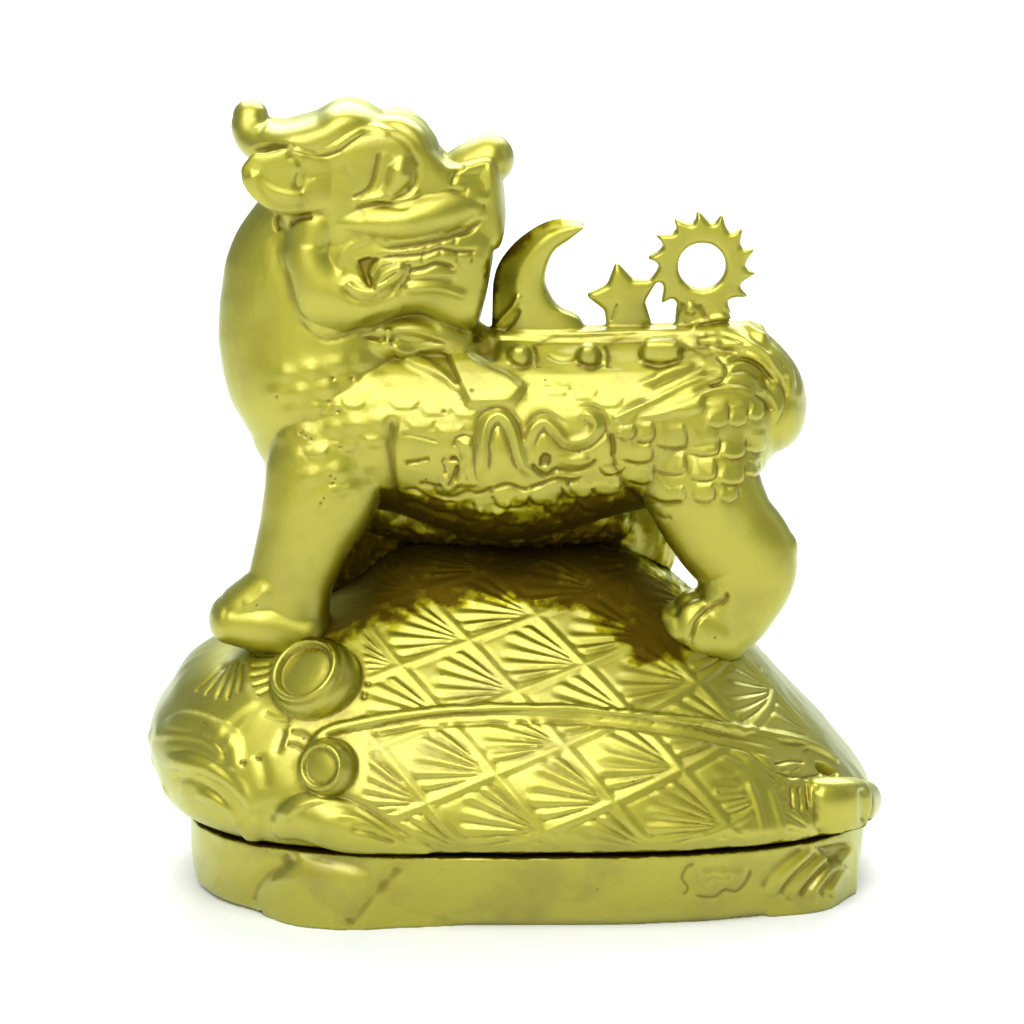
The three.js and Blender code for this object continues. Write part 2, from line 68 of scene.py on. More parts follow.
# Light and floor. A pale table that fades into a pale room. Two soft lights stand above the viewer, a
# large one behind the piece, and a weak one at each side gives the brass its bright edges.
def soft_light(name, place, size, power):
    """A square light of this size in metres that shines at the middle of the piece."""
    light = bpy.data.objects.new(name, bpy.data.lights.new(name, "AREA"))
    light.data.shape = "SQUARE"
    light.data.size = size
    light.data.energy = power
    light.location = place
    way = (AIM * MM) - np.array(place)
    light.rotation_euler = (
        math.atan2(math.hypot(way[0], way[1]), -way[2]),
        0,
        math.atan2(way[1], way[0]) - math.pi / 2,
    )
    bpy.context.scene.collection.objects.link(light)


soft_light("light_above_viewer", (-0.1, -0.36, 0.66), 0.6, 4.6)
soft_light("light_before_viewer", (-0.15, -0.62, 0.46), 0.4, 2.1)
soft_light("light_left", (-0.7, -0.15, 0.25), 0.4, 0.08)
soft_light("light_right", (0.7, 0.1, 0.35), 0.4, 0.3)
soft_light("light_behind", (0.1, 0.9, 1.0), 1.2, 22.0)

room = bpy.data.worlds.new("pale_room")
room.use_nodes = True
room.node_tree.nodes["Background"].inputs["Color"].default_value = (0.88, 0.95, 0.92, 1)
room.node_tree.nodes["Background"].inputs["Strength"].default_value = 0.38
bpy.context.scene.world = room
bpy.context.scene.view_settings.view_transform = "Standard"

floor_mesh = bpy.data.meshes.new("floor")
floor_mesh.from_pydata([(-3, -3, 0), (3, -3, 0), (3, 3, 0), (-3, 3, 0)], [], [(0, 1, 2, 3)])
floor = bpy.data.objects.new("floor", floor_mesh)
bpy.context.scene.collection.objects.link(floor)
paper = bpy.data.materials.new("pale_paper")
paper.use_nodes = True
paper.node_tree.nodes["Principled BSDF"].inputs["Base Color"].default_value = (0.86, 0.87, 0.87, 1)
paper.node_tree.nodes["Principled BSDF"].inputs["Roughness"].default_value = 0.8
floor_mesh.materials.append(paper)

# Box. The lower half of the bundle is a shallow cast tray that follows the lid's outline, with a
# foot-like lobe at its front left, folds at its right, and an upstand inside its rim for the lid.
BUNDLE_LENGTH = 66.0
BUNDLE_DEPTH = 40.0
BOX_HEIGHT = 6.8
WALL = 2.2
FLOOR = 1.8
LIP_WIDTH = 1.0
LIP_HEIGHT = 1.0
LIP_CLEARANCE = 0.8
SEAM = 0.4
LID_HEIGHT = 23.4
LID_BOTTOM = BOX_HEIGHT + SEAM
CROWN_BACK = 2.5
SQUARENESS = 2.8
# the tables' own middle lies this far from the frame's, which stands under the whole piece
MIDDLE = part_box("bundle_lid")[0].x / MM + BUNDLE_LENGTH / 2

BOX_LEFT = [[0.855, 0], [0.88, 0.12], [0.89, 0.5], [0.89, 1]]
BOX_RIGHT = [[0.92, 0], [0.945, 0.15], [0.96, 0.6], [0.965, 1]]
BOX_FRONT = [[0.84, 0], [0.88, 0.15], [0.925, 0.5], [0.945, 1]]
BOX = (BOX_LEFT, BOX_RIGHT, BOX_FRONT)
LID_LEFT = [
    [0.89, 0], [0.96, 0.07], [1, 0.27], [0.95, 0.42], [0.87, 0.55],
    [0.67, 0.67], [0.45, 0.82], [0.3, 0.965], [0, 1],
]
LID_RIGHT = [
    [0.985, 0], [0.975, 0.06], [0.93, 0.15], [0.86, 0.27], [0.77, 0.4],
    [0.66, 0.57], [0.51, 0.76], [0.31, 0.95], [0, 1],
]
LID_FRONT = [
    [0.96, 0], [1, 0.07], [0.97, 0.2], [0.91, 0.33], [0.81, 0.46],
    [0.66, 0.61], [0.47, 0.78], [0.27, 0.93], [0, 1],
]
LID = (LID_LEFT, LID_RIGHT, LID_FRONT)


def through(rows, share):
    """A smooth path through rows, and its slope, at shares 0 to 1 of the way: between two rows it
    is the cubic whose slope at a row is half the step between that row's neighbours."""
    rows = np.asarray(rows, float)
    ends = np.vstack([2 * rows[0] - rows[1], rows, 2 * rows[-1] - rows[-2]])
    place = np.clip(share, 0, 1) * (len(rows) - 1)
    stretch = np.minimum(place.astype(int), len(rows) - 2)
    w = (place - stretch)[..., None]
    a, b, c, d = (ends[stretch + k] for k in range(4))
    m = (c - a) / 2
    n = (d - b) / 2
    square = 3 * (c - b) - 2 * m - n
    cube = 2 * (b - c) + m + n
    return b + w * (m + w * (square + w * cube)), m + w * (2 * square + 3 * w * cube)


def bundle(profiles, turn, t, bottom, height, inset=0.0, drop=0.0):
    """The bundle's skin at an angle turn round it and a share t of its profiles. The ends' and the
    faces' profiles give half a length and half a depth, a rounded rectangle joins them, and the
    height is weighed by the squares of the angle's cosine and sine."""
    turn, t = np.broadcast_arrays(np.asarray(turn, float), np.asarray(t, float))
    c = np.cos(turn)
    s = np.sin(turn)
    left, right, front = (through(rows, t)[0] for rows in profiles)
    end = np.where((c < 0)[..., None], left, right)
    half_length = np.maximum(end[..., 0] * BUNDLE_LENGTH / 2 - inset, 1e-6)
    half_depth = np.maximum(front[..., 0] * BUNDLE_DEPTH / 2 - inset, 1e-6)
    reach = (
        (np.abs(c) / half_length) ** SQUARENESS + (np.abs(s) / half_depth) ** SQUARENESS
    ) ** (-1 / SQUARENESS)
    climb = c * c * end[..., 1] + s * s * front[..., 1]
    back = CROWN_BACK * climb**2 if bottom > 0 else 0
    return np.stack([reach * c + MIDDLE, reach * s + back, bottom + climb * height - drop], axis=-1)


LIMB_SIDES = 40
RINGS_A_STEP = 10
CAP_RINGS = 8


def limb(rows, square=2.0, cap=0.8):
    """A round-ended body along the smooth path through rows of [x, y, z, half height, half depth].
    A ring stands square to the path, upright half height by level half depth, and square above 2
    flattens its sides. Rings that shrink by the cosine of a lean and step out by its sine close
    both ends."""
    along = RINGS_A_STEP * (len(rows) - 1) + 1
    quarter = np.linspace(0, 90, CAP_RINGS + 1)
    lean = np.radians(np.concatenate([-quarter[:0:-1], np.zeros(along), quarter[1:]]))
    share = np.concatenate([np.zeros(CAP_RINGS), np.linspace(0, 1, along), np.ones(CAP_RINGS)])
    point, slope = through(rows, share)
    tangent = slope[:, :3] / np.linalg.norm(slope[:, :3], axis=1)[:, None]
    side = np.array([0.0, 1.0, 0.0]) - tangent * tangent[:, 1:2]
    side /= np.linalg.norm(side, axis=1)[:, None]
    up = np.cross(tangent, side)
    high = point[:, 3] * np.cos(lean)
    deep = point[:, 4] * np.cos(lean)
    step = np.minimum(point[:, 3], point[:, 4]) * cap * np.sin(lean)
    centre = point[:, :3] + tangent * step[:, None]
    angle = np.linspace(0, 2 * math.pi, LIMB_SIDES, endpoint=False)
    c = np.sign(np.cos(angle)) * np.abs(np.cos(angle)) ** (2 / square)
    s = np.sign(np.sin(angle)) * np.abs(np.sin(angle)) ** (2 / square)
    rise = np.outer(high, c)[..., None] * up[:, None]
    return centre[:, None] + rise + np.outer(deep, s)[..., None] * side[:, None]


def fused(name, grids, cell, rounds):
    """One closed casting from overlapping closed grids, whose rings close on themselves: their union
    is drawn again with cells of this size in millimetres and smoothed this many times."""
    places = []
    faces = []
    start = 0
    for grid in grids:
        rings, around = grid.shape[:2]
        ring, i = np.meshgrid(np.arange(rings - 1), np.arange(around), indexing="ij")
        after = (i + 1) % around
        corners = [ring * around + i, ring * around + after, (ring + 1) * around + after,
                   (ring + 1) * around + i]
        faces.append(np.stack(corners, axis=-1).reshape(-1, 4) + start)
        places.append(grid.reshape(-1, 3))
        start += rings * around
    places = np.concatenate(places) * MM
    faces = np.concatenate(faces)
    mesh = bpy.data.meshes.new(name)
    mesh.vertices.add(len(places))
    mesh.vertices.foreach_set("co", places.ravel())
    mesh.loops.add(4 * len(faces))
    mesh.loops.foreach_set("vertex_index", faces.ravel())
    mesh.polygons.add(len(faces))
    mesh.polygons.foreach_set("loop_start", np.arange(len(faces)) * 4)
    mesh.update(calc_edges=True)
    piece = bpy.data.objects.new(name, mesh)
    bpy.context.scene.collection.objects.link(piece)
    remesh = piece.modifiers.new("union", "REMESH")
    remesh.mode = "VOXEL"
    remesh.voxel_size = cell * MM
    smooth = piece.modifiers.new("smoothing", "SMOOTH")
    smooth.factor = 0.5
    smooth.iterations = rounds
    settle(piece)
    return piece


def settle(piece):
    """Makes the piece's modifiers part of its mesh."""
    seen = piece.evaluated_get(bpy.context.evaluated_depsgraph_get())
    made = bpy.data.meshes.new_from_object(seen)
    piece.modifiers.clear()
    piece.data = made


def skin_of(piece):
    """Places in millimetres and normals of a piece's vertices."""
    count = len(piece.data.vertices)
    places = np.empty(count * 3, np.float32)
    normals = np.empty(count * 3, np.float32)
    piece.data.vertices.foreach_get("co", places)
    piece.data.vertex_normals.foreach_get("vector", normals)
    return places.reshape(-1, 3).astype(float) / MM, normals.reshape(-1, 3).astype(float)


def ease(x):
    """0 below 0, 1 above 1, and 3x^2 - 2x^3 between."""
    x = np.clip(x, 0, 1)
    return x * x * (3 - 2 * x)


def distances(spots, path):
    """For spots on the drawing: the distance to the path, the side it lies on (positive on the
    right of travel) and the share of the path at the nearest place."""
    best = np.full(len(spots), 1e9)
    side = np.zeros(len(spots))
    share = np.zeros(len(spots))
    for k in range(len(path) - 1):
        step = path[k + 1] - path[k]
        away = spots - path[k]
        along = np.clip(away @ step / (step @ step + 1e-12), 0, 1)
        gap = np.hypot(*(away - along[:, None] * step).T)
        nearer = gap < best
        best[nearer] = gap[nearer]
        side[nearer] = (step[0] * away[:, 1] - step[1] * away[:, 0])[nearer]
        share[nearer] = ((k + along) / (len(path) - 1))[nearer]
    return best, np.sign(side), share


PATH_STEPS = 6
LINE_FADE = 0.14
LAP_FADE = 0.1


def smooth_path(points, closed=False):
    """Places close together on the smooth path through points of the drawing."""
    points = list(points) + [points[0]] if closed else points
    return through(points, np.linspace(0, 1, PATH_STEPS * (len(points) - 1) + 1))[0]


def line(points, width, height):
    """A ridge, or with a negative height a groove, of this half width on the drawing; its height is
    that times the bell curve of the distance, and dies away at both ends."""
    path = smooth_path(points)

    def press(spots):
        gap, _, share = distances(spots, path)
        ridge = height * np.exp(-((gap / width) ** 2))
        return ridge * ease(share / LINE_FADE) * ease((1 - share) / LINE_FADE)

    return path, 3 * width, press


def lap(points, width, height, edge=2.4):
    """A step along a path: the right side of travel stands up by height at the line and falls away
    over width, and the step itself is as wide as edge."""
    path = smooth_path(points)

    def press(spots):
        gap, side, share = distances(spots, path)
        across = gap * side
        step = ease((across + edge) / (2 * edge)) * np.exp(-np.maximum(across, 0) / width)
        return height * step * ease(share / LAP_FADE) * ease((1 - share) / LAP_FADE)

    return path, 4 * width + 2, press


def pad(points, edge, height):
    """A closed outline raised by height, or sunk, with a rounded edge of this width inside it."""
    path = smooth_path(points, closed=True)

    def press(spots):
        gap, _, _ = distances(spots, path)
        inside = np.zeros(len(spots), bool)
        for (x0, y0), (x1, y1) in zip(path[:-1], path[1:]):
            if y0 != y1:
                crosses = (spots[:, 1] < y0) != (spots[:, 1] < y1)
                inside ^= crosses & (spots[:, 0] < x0 + (spots[:, 1] - y0) / (y1 - y0) * (x1 - x0))
        return height * inside * ease(gap / edge) ** 0.7

    return path, 1, press


SHEET = 1024
UNITS_ACROSS = LENS / SENSOR * SHEET
UPWARD = np.array([0.0, math.sin(EYE_RISE), math.cos(EYE_RISE)])


def on_sheet(points):
    """Where points in millimetres fall on the drawing: their distances across and above the line of
    sight, divided by the distance along it."""
    away = points - EYE
    depth = away @ SIGHT
    across = SHEET / 2 + UNITS_ACROSS * away[:, 0] / depth
    down = SHEET / 2 - UNITS_ACROSS * (away @ UPWARD) / depth
    return np.stack([across, down], axis=1)


def spots_of(places):
    """Where places fall on the drawing, with those of the far side mirrored to the near one."""
    return on_sheet(places * [1, 0, 1] - np.abs(places) * [0, 1, 0])


def carved(places, normals, cuts):
    """Height in millimetres that the cuts add at each place. The far side carries the same carving
    in mirror image, and a surface that turns away from the drawing takes none."""
    ones = np.ones(len(places))
    turned = normals * np.column_stack([ones, -np.sign(places[:, 1]), ones])
    spots = spots_of(places)
    faces_us = ease((turned @ -SIGHT - 0.05) / 0.35)
    height = np.zeros(len(places))
    for path, reach, press in cuts:
        low = path.min(axis=0) - reach
        high = path.max(axis=0) + reach
        chosen = np.all((spots > low) & (spots < high), axis=1) & (faces_us > 0)
        if chosen.any():
            height[chosen] += press(spots[chosen]) * faces_us[chosen]
    return height


def uneven(places, size, seed):
    """Soft unevenness of a hand-finished casting: twenty sine waves of about this length in
    millimetres, in directions drawn from a fixed seed."""
    chance = np.random.default_rng(seed)
    ways = chance.normal(size=(20, 3))
    ways /= np.linalg.norm(ways, axis=1)[:, None]
    waves = 2 * math.pi / (size * chance.uniform(0.7, 1.8, 20))
    phase = chance.uniform(0, 2 * math.pi, 20)
    return sum(np.sin(places @ (w * k) + p) for w, k, p in zip(ways, waves, phase)) / math.sqrt(10)


FINE_ROUNDS = 4
BROAD_ROUNDS = 90
FINE_HOLLOW = 0.03
BROAD_HOLLOW = 0.3


def finished(piece, places, triangles, painted_shade):
    """Sets the carved places, writes how hollow each place is and how much painted shade it gets, thins
    the mesh to this many triangles and shades it smoothly. Hollow is how far the average of the neighbours,
    taken
    over and over, lies out along the normal: a few rounds find the fine lines, many the broad dips."""
    mesh = piece.data
    mesh.vertices.foreach_set("co", (places * MM).astype(np.float32).ravel())
    mesh.update()
    _, normals = skin_of(piece)
    count = len(places)
    edges = np.empty(2 * len(mesh.edges), np.int32)
    mesh.edges.foreach_get("vertices", edges)
    a, b = edges.reshape(-1, 2).T
    degree = np.bincount(a, minlength=count) + np.bincount(b, minlength=count)
    mean = places.copy()
    for turn in range(BROAD_ROUNDS):
        spread = [
            np.bincount(a, mean[b, k], count) + np.bincount(b, mean[a, k], count) for k in range(3)
        ]
        mean = np.stack(spread, axis=1) / degree[:, None]
        if turn == FINE_ROUNDS - 1:
            fine = np.sum((mean - places) * normals, axis=1)
    broad = np.sum((mean - places) * normals, axis=1)
    told = {
        "hollow_fine": fine / FINE_HOLLOW,
        "hollow_broad": broad / BROAD_HOLLOW,
        "painted_shade": painted_shade,
    }
    for name, values in told.items():
        mesh.attributes.new(name, "FLOAT", "POINT").data.foreach_set("value", values.astype(np.float32))
    thin = piece.modifiers.new("thinning", "DECIMATE")
    thin.ratio = min(1.0, triangles / (2 * len(mesh.polygons)))
    settle(piece)
    piece.data.shade_smooth()


def on_skin(profiles, degrees, t, depth=0.0):
    """A point of the skin of the box or the lid, by its angle round it in degrees, sunk by a depth."""
    bottom, height = (0, BOX_HEIGHT) if profiles is BOX else (LID_BOTTOM, LID_HEIGHT)
    return bundle(profiles, math.radians(degrees), t, bottom, height, depth).tolist()


def skin_limb(profiles, rows, square=2.0, cap=0.8):
    """A limb along the skin of the box or the lid, cut off at the seam. Its rows are [angle in
    degrees, share of the profiles, depth under the skin, half height, half depth]."""
    low, high = (0, BOX_HEIGHT) if profiles is BOX else (LID_BOTTOM, LID_BOTTOM + LID_HEIGHT)
    grid = limb([[*on_skin(profiles, *row[:3]), *row[3:]] for row in rows], square, cap)
    grid[..., 2] = np.clip(grid[..., 2], low, high)
    return grid


STEPS_ROUND = 480
turns = np.linspace(0, 2 * math.pi, STEPS_ROUND, endpoint=False)


def level(ring, z):
    """The ring laid flat at this height."""
    return ring * [1, 1, 0] + [0, 0, z]


def pole(z):
    """A ring shrunk to a point, which closes a grid at its middle."""
    return np.tile([MIDDLE, 0, z], (STEPS_ROUND, 1))


box_skin = [bundle(BOX, turns, t, 0, BOX_HEIGHT) for t in np.linspace(0, 1, 24)]
lid_rim = [
    bundle(LID, turns, 0, LID_BOTTOM, LID_HEIGHT, WALL + LIP_CLEARANCE + width)
    for width in (0, LIP_WIDTH)
]
tray = np.stack([
    pole(0), *box_skin,
    level(lid_rim[0], BOX_HEIGHT), level(lid_rim[0], BOX_HEIGHT + LIP_HEIGHT),
    level(lid_rim[1], BOX_HEIGHT + LIP_HEIGHT), level(lid_rim[1], BOX_HEIGHT - 2),
    level(bundle(BOX, turns, 0, 0, BOX_HEIGHT, WALL), FLOOR), pole(FLOOR),
])
lobe = skin_limb(BOX, [
    [-147, 0.5, 0.9, 0.62 * BOX_HEIGHT, 1.0],
    [-139, 0.5, 0.5, 0.66 * BOX_HEIGHT, 1.9],
    [-130, 0.5, 0.5, 0.66 * BOX_HEIGHT, 1.8],
    [-122, 0.45, 0.9, 0.62 * BOX_HEIGHT, 1.2],
    [-112, 0.42, 1.5, 0.6 * BOX_HEIGHT, 1.2],
    [-101, 0.4, 2.3, 0.56 * BOX_HEIGHT, 1.0],
], 3)
leaf = skin_limb(BOX, [
    [-32, 0.4, 0.9, 0.5 * BOX_HEIGHT, 0.8],
    [-24, 0.5, 0.5, 0.62 * BOX_HEIGHT, 1.1],
    [-14, 0.5, 0.6, 0.62 * BOX_HEIGHT, 1.0],
], 3)

box_cuts = [
    # foot-like lobe: its left edge, its sole and the soft fold at its right
    line([(346, 930), (356, 916), (370, 898), (386, 880), (404, 860)], 8, -0.34),
    lap([(412, 852), (398, 868), (382, 885), (365, 904), (350, 924)], 26, 0.34, 8),
    lap([(256, 914), (258, 900), (264, 886), (276, 874), (291, 864), (298, 848)], 26, 0.3, 7),
    line([(252, 906), (256, 892), (268, 878), (284, 868), (294, 852)], 8, -0.26),
    line([(270, 884), (284, 880), (300, 884)], 7, 0.1),
    line([(205, 826), (214, 845), (232, 858), (262, 866)], 9, -0.12),
    line([(215, 880), (232, 893), (250, 900)], 7, -0.1),
    line([(262, 848), (276, 858), (290, 856)], 5, -0.14),
    # folds of the right leaf, and the dark notch between two of them
    line([(768, 897), (780, 881), (796, 864), (814, 849)], 6, 0.3),
    line([(788, 899), (802, 881), (816, 866), (830, 853)], 5, 0.34),
    line([(808, 898), (820, 881), (832, 868), (842, 860)], 5, 0.34),
    line([(828, 895), (837, 880), (846, 867)], 5, 0.3),
    line([(760, 893), (772, 874), (788, 858), (806, 845)], 5, -0.22),
    line([(778, 898), (791, 880), (806, 864), (822, 851)], 3.4, -0.24),
    line([(798, 899), (811, 881), (824, 867), (838, 855)], 3.4, -0.24),
    line([(819, 897), (829, 880), (840, 864)], 3.4, -0.2),
    pad([(810, 846), (824, 845), (846, 841), (853, 848), (846, 858), (834, 870), (828, 862), (820, 853)],
        7, -0.6),
    # scalloped relief
    line([(680, 897), (688, 889), (682, 878), (688, 867), (697, 864)], 2.6, -0.15),
    line([(690, 893), (702, 897), (715, 897), (725, 891), (736, 892), (745, 885), (750, 875), (752, 866)],
         2.6, -0.17),
    pad([(697, 868), (745, 868), (747, 880), (738, 888), (724, 890), (710, 893), (698, 888)], 9, 0.2),
    line([(702, 884), (712, 877), (724, 879), (732, 874)], 2.6, -0.12),
    line([(712, 890), (720, 884), (728, 886)], 2.4, -0.1),
    line([(470, 905), (480, 890), (494, 878)], 6, 0.06),
]

# all three castings are polished brass that has dulled to olive gold, with brown left in the hollows;
# grain, pits, stains and painted dark brown shade come from one group, and each casting sets its own values
STAIN_SIZE = 5.0
PATCH_SIZE = 1.6
GRAIN_SIZE = 0.28
PIT_SPACING = 1.5
BUMP_HEIGHT = 0.04


def cast_skin():
    """The group: dark where the hollow attributes and a soft stain say so, painted dark brown shade
    where the painted shade attribute says so, dots of pits where a random cell of a Voronoi pattern is
    near its centre, and a bump of fine grain and pits."""
    group = bpy.data.node_groups.new("cast_skin", "ShaderNodeTree")
    inputs = (
        ("Bright", "NodeSocketColor"), ("Dull", "NodeSocketColor"), ("Hollow", "NodeSocketColor"),
        ("Painted_shade", "NodeSocketColor"), ("Stain", "NodeSocketFloat"), ("Depth", "NodeSocketFloat"),
        ("Roughness", "NodeSocketFloat"), ("Grain", "NodeSocketFloat"),
    )
    for name, kind in inputs:
        group.interface.new_socket(name, in_out="INPUT", socket_type=kind)
    for name, kind in (("Colour", "NodeSocketColor"), ("Roughness", "NodeSocketFloat"),
                       ("Coat", "NodeSocketFloat"), ("Normal", "NodeSocketVector")):
        group.interface.new_socket(name, in_out="OUTPUT", socket_type=kind)
    links = group.links
    given = group.nodes.new("NodeGroupInput")
    made = group.nodes.new("NodeGroupOutput")
    spot = group.nodes.new("ShaderNodeTexCoord").outputs["Object"]

    def noise(size, detail):
        """Noise whose spots are about this many millimetres across."""
        node = group.nodes.new("ShaderNodeTexNoise")
        node.inputs["Scale"].default_value = 1 / (size * MM)
        node.inputs["Detail"].default_value = detail
        links.new(spot, node.inputs["Vector"])
        return node.outputs["Fac"]

    def between(value, low, high, to_low=0.0, to_high=1.0):
        """The value, brought from one range to another by a smooth step."""
        node = group.nodes.new("ShaderNodeMapRange")
        node.interpolation_type = "SMOOTHSTEP"
        ends = {"From Min": low, "From Max": high, "To Min": to_low, "To Max": to_high}
        for name, number in ends.items():
            node.inputs[name].default_value = number
        links.new(value, node.inputs["Value"])
        return node.outputs["Result"]

    def reckoned(kind, a, b):
        """Two values or numbers, put together by this kind of sum."""
        node = group.nodes.new("ShaderNodeMath")
        node.operation = kind
        for socket, value in zip(node.inputs, (a, b)):
            if isinstance(value, (int, float)):
                socket.default_value = value
            else:
                links.new(value, socket)
        return node.outputs[0]

    def mixed(share, a, b):
        """Two colours, mixed by the second one's share."""
        node = group.nodes.new("ShaderNodeMix")
        node.data_type = "RGBA"
        links.new(share, node.inputs["Factor"])
        links.new(a, node.inputs["A"])
        links.new(b, node.inputs["B"])
        return node.outputs["Result"]

    def attribute(name):
        """A value that the casting's mesh carries."""
        node = group.nodes.new("ShaderNodeAttribute")
        node.attribute_name = name
        return node.outputs["Fac"]

    stain = reckoned("MULTIPLY", between(noise(STAIN_SIZE, 3), 0.45, 0.7), given.outputs["Stain"])
    fine = between(attribute("hollow_fine"), 0.25, 1.9)
    broad = between(attribute("hollow_broad"), 0.1, 1.5)
    hollow = reckoned("MULTIPLY", reckoned("MAXIMUM", fine, broad), given.outputs["Depth"])
    cells = group.nodes.new("ShaderNodeTexVoronoi")
    cells.inputs["Scale"].default_value = 1 / (PIT_SPACING * MM)
    links.new(spot, cells.inputs["Vector"])
    pick = group.nodes.new("ShaderNodeSeparateColor")
    links.new(cells.outputs["Color"], pick.inputs["Color"])
    few = between(pick.outputs["Red"], 0.9, 0.92)
    dots = reckoned("MULTIPLY", between(cells.outputs["Distance"], 0.1, 0.04), few)
    dull = mixed(stain, given.outputs["Bright"], given.outputs["Dull"])
    dark = mixed(reckoned("MINIMUM", reckoned("ADD", hollow, dots), 1.0), dull, given.outputs["Hollow"])
    # painted shade: the painted shade attribute, broken up by noise, mixes in the dark brown shade colour
    patchy = reckoned("ADD", attribute("painted_shade"), between(noise(PATCH_SIZE, 4), 0.3, 0.7, -0.28, 0.28))
    rest = between(patchy, 0.25, 0.85)
    links.new(mixed(rest, dark, given.outputs["Painted_shade"]), made.inputs["Colour"])
    # the coat is taken off where shade is painted and in the hollows, and those places are rougher
    brown = reckoned("MAXIMUM", between(patchy, 0.28, 0.5), reckoned("MULTIPLY", hollow, 0.7))
    links.new(reckoned("SUBTRACT", 1.0, brown), made.inputs["Coat"])
    grain = noise(GRAIN_SIZE, 4)
    streak = between(grain, 0.3, 0.7, -0.04, 0.04)
    duller = reckoned("ADD", reckoned("MULTIPLY", hollow, 0.15), reckoned("MULTIPLY", stain, 0.1))
    duller = reckoned("ADD", duller, reckoned("MULTIPLY", rest, 0.14))
    rough = reckoned("ADD", reckoned("ADD", given.outputs["Roughness"], streak), duller)
    links.new(rough, made.inputs["Roughness"])
    skin = reckoned("MULTIPLY", grain, given.outputs["Grain"])
    relief = reckoned("SUBTRACT", skin, reckoned("MULTIPLY", dots, 2.0))
    bump = group.nodes.new("ShaderNodeBump")
    bump.inputs["Distance"].default_value = BUMP_HEIGHT * MM
    links.new(relief, bump.inputs["Height"])
    links.new(bump.outputs["Normal"], made.inputs["Normal"])
    return group


skin_group = cast_skin()


BRIGHT = (0.395, 0.363, 0.013)
DULL = (0.32, 0.285, 0.01)
BROWN = (0.2, 0.145, 0.008)
# painted shade: the dark brown laid where shade falls under the belly, in the seam and behind the muzzle
PAINTED_SHADE_BROWN = (0.088, 0.056, 0.003)


def brass(name, stain, depth, roughness, grain):
    """Cast brass: a metal shader whose colour, roughness, normal and thin clear coat come from the
    skin. The coat gives the places clear of hollows and painted shade their pale highlights."""
    material = bpy.data.materials.new(name)
    material.use_nodes = True
    tree = material.node_tree
    metal = tree.nodes["Principled BSDF"]
    metal.inputs["Metallic"].default_value = 1.0
    metal.inputs["Specular Tint"].default_value = (0.75, 0.95, 0.65, 1)
    metal.inputs["Coat Roughness"].default_value = 0.32
    metal.inputs["Coat IOR"].default_value = 1.6
    skin = tree.nodes.new("ShaderNodeGroup")
    skin.node_tree = skin_group
    given = {
        "Bright": (*BRIGHT, 1), "Dull": (*DULL, 1), "Hollow": (*BROWN, 1), "Painted_shade": (*PAINTED_SHADE_BROWN, 1),
        "Stain": stain, "Depth": depth, "Roughness": roughness, "Grain": grain,
    }
    for socket, value in given.items():
        skin.inputs[socket].default_value = value
    tree.links.new(skin.outputs["Colour"], metal.inputs["Base Color"])
    tree.links.new(skin.outputs["Roughness"], metal.inputs["Roughness"])
    tree.links.new(skin.outputs["Coat"], metal.inputs["Coat Weight"])
    tree.links.new(skin.outputs["Normal"], metal.inputs["Normal"])
    return material


UNEVENNESS = 0.02
# depth in millimetres of the painted seam shade on box and lid
SEAM_SHADE_DEPTH = 0.3
SOLE = 0.16

box = fused("box_casting", [tray, lobe, leaf], cell=0.22, rounds=7)
places, normals = skin_of(box)
height = carved(places, normals, box_cuts) + UNEVENNESS * uneven(places, size=4, seed=3)
places += normals * height[:, None]
# the sole was rounded by the smoothing, and is made flat again
places[:, 2] = np.where(places[:, 2] < SOLE, 0, places[:, 2])
# painted shade: the box's top edge is painted dark brown, for the shade in the open seam
finished(box, places, 120_000, ease((places[:, 2] - BOX_HEIGHT + SEAM_SHADE_DEPTH) / 0.2))
box.data.materials.append(brass("box_brass", stain=0.9, depth=0.65, roughness=0.48, grain=0.34))
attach(box, "root")
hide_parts("bundle_box")

# Lid. The upper half of the bundle is one hollow casting: cloth with needle fans in a slanting
# lattice, a raised cloth edge across its front, two roll ends, folded leaves at the left, and a knob.
CLOTH_EDGE = 0.8
KNOB_RADIUS = 2.3
PETAL_WIDTH = 2.3
ROLL_END_RADIUS = 3.9
SMALL_ROLL_RADIUS = 2.4

outside = [bundle(LID, turns, t, LID_BOTTOM, LID_HEIGHT) for t in np.linspace(1, 0, 120)]
# the wall is taken off sideways at the rim, and downwards at the crown
inside = [
    bundle(LID, turns, t, LID_BOTTOM, LID_HEIGHT, WALL * math.cos(math.pi / 2 * t),
           WALL * math.sin(math.pi / 2 * t))
    for t in np.linspace(0, 1, 40)
]
mound = np.stack([*outside, level(inside[0], LID_BOTTOM), *inside[1:]])


def roll_end(centre, axis, radius):
    """The round end of a cloth roll, turned about its axis: a raised ring around a shallow dish."""
    rows = [
        [0, -0.5], [0.9, -0.5], [1.02, -0.3], [1.05, 0], [1.02, 0.2], [0.95, 0.36], [0.88, 0.42],
        [0.86, 0.52], [0.82, 0.6], [0.74, 0.61], [0.69, 0.54], [0.66, 0.44], [0.6, 0.42], [0.4, 0.46],
        [0.2, 0.48], [0, 0.49],
    ]
    reach, rise = through(rows, np.linspace(0, 1, 80))[0].T
    axis = np.array(axis) / np.linalg.norm(axis)
    first = np.cross(axis, [0, 0, 1])
    first /= np.linalg.norm(first)
    second = np.cross(axis, first)
    angle = np.linspace(0, 2 * math.pi, 72, endpoint=False)[:, None]
    spoke = np.cos(angle) * first + np.sin(angle) * second
    return np.array(centre) + radius * (np.abs(reach)[:, None, None] * spoke + rise[:, None, None] * axis)


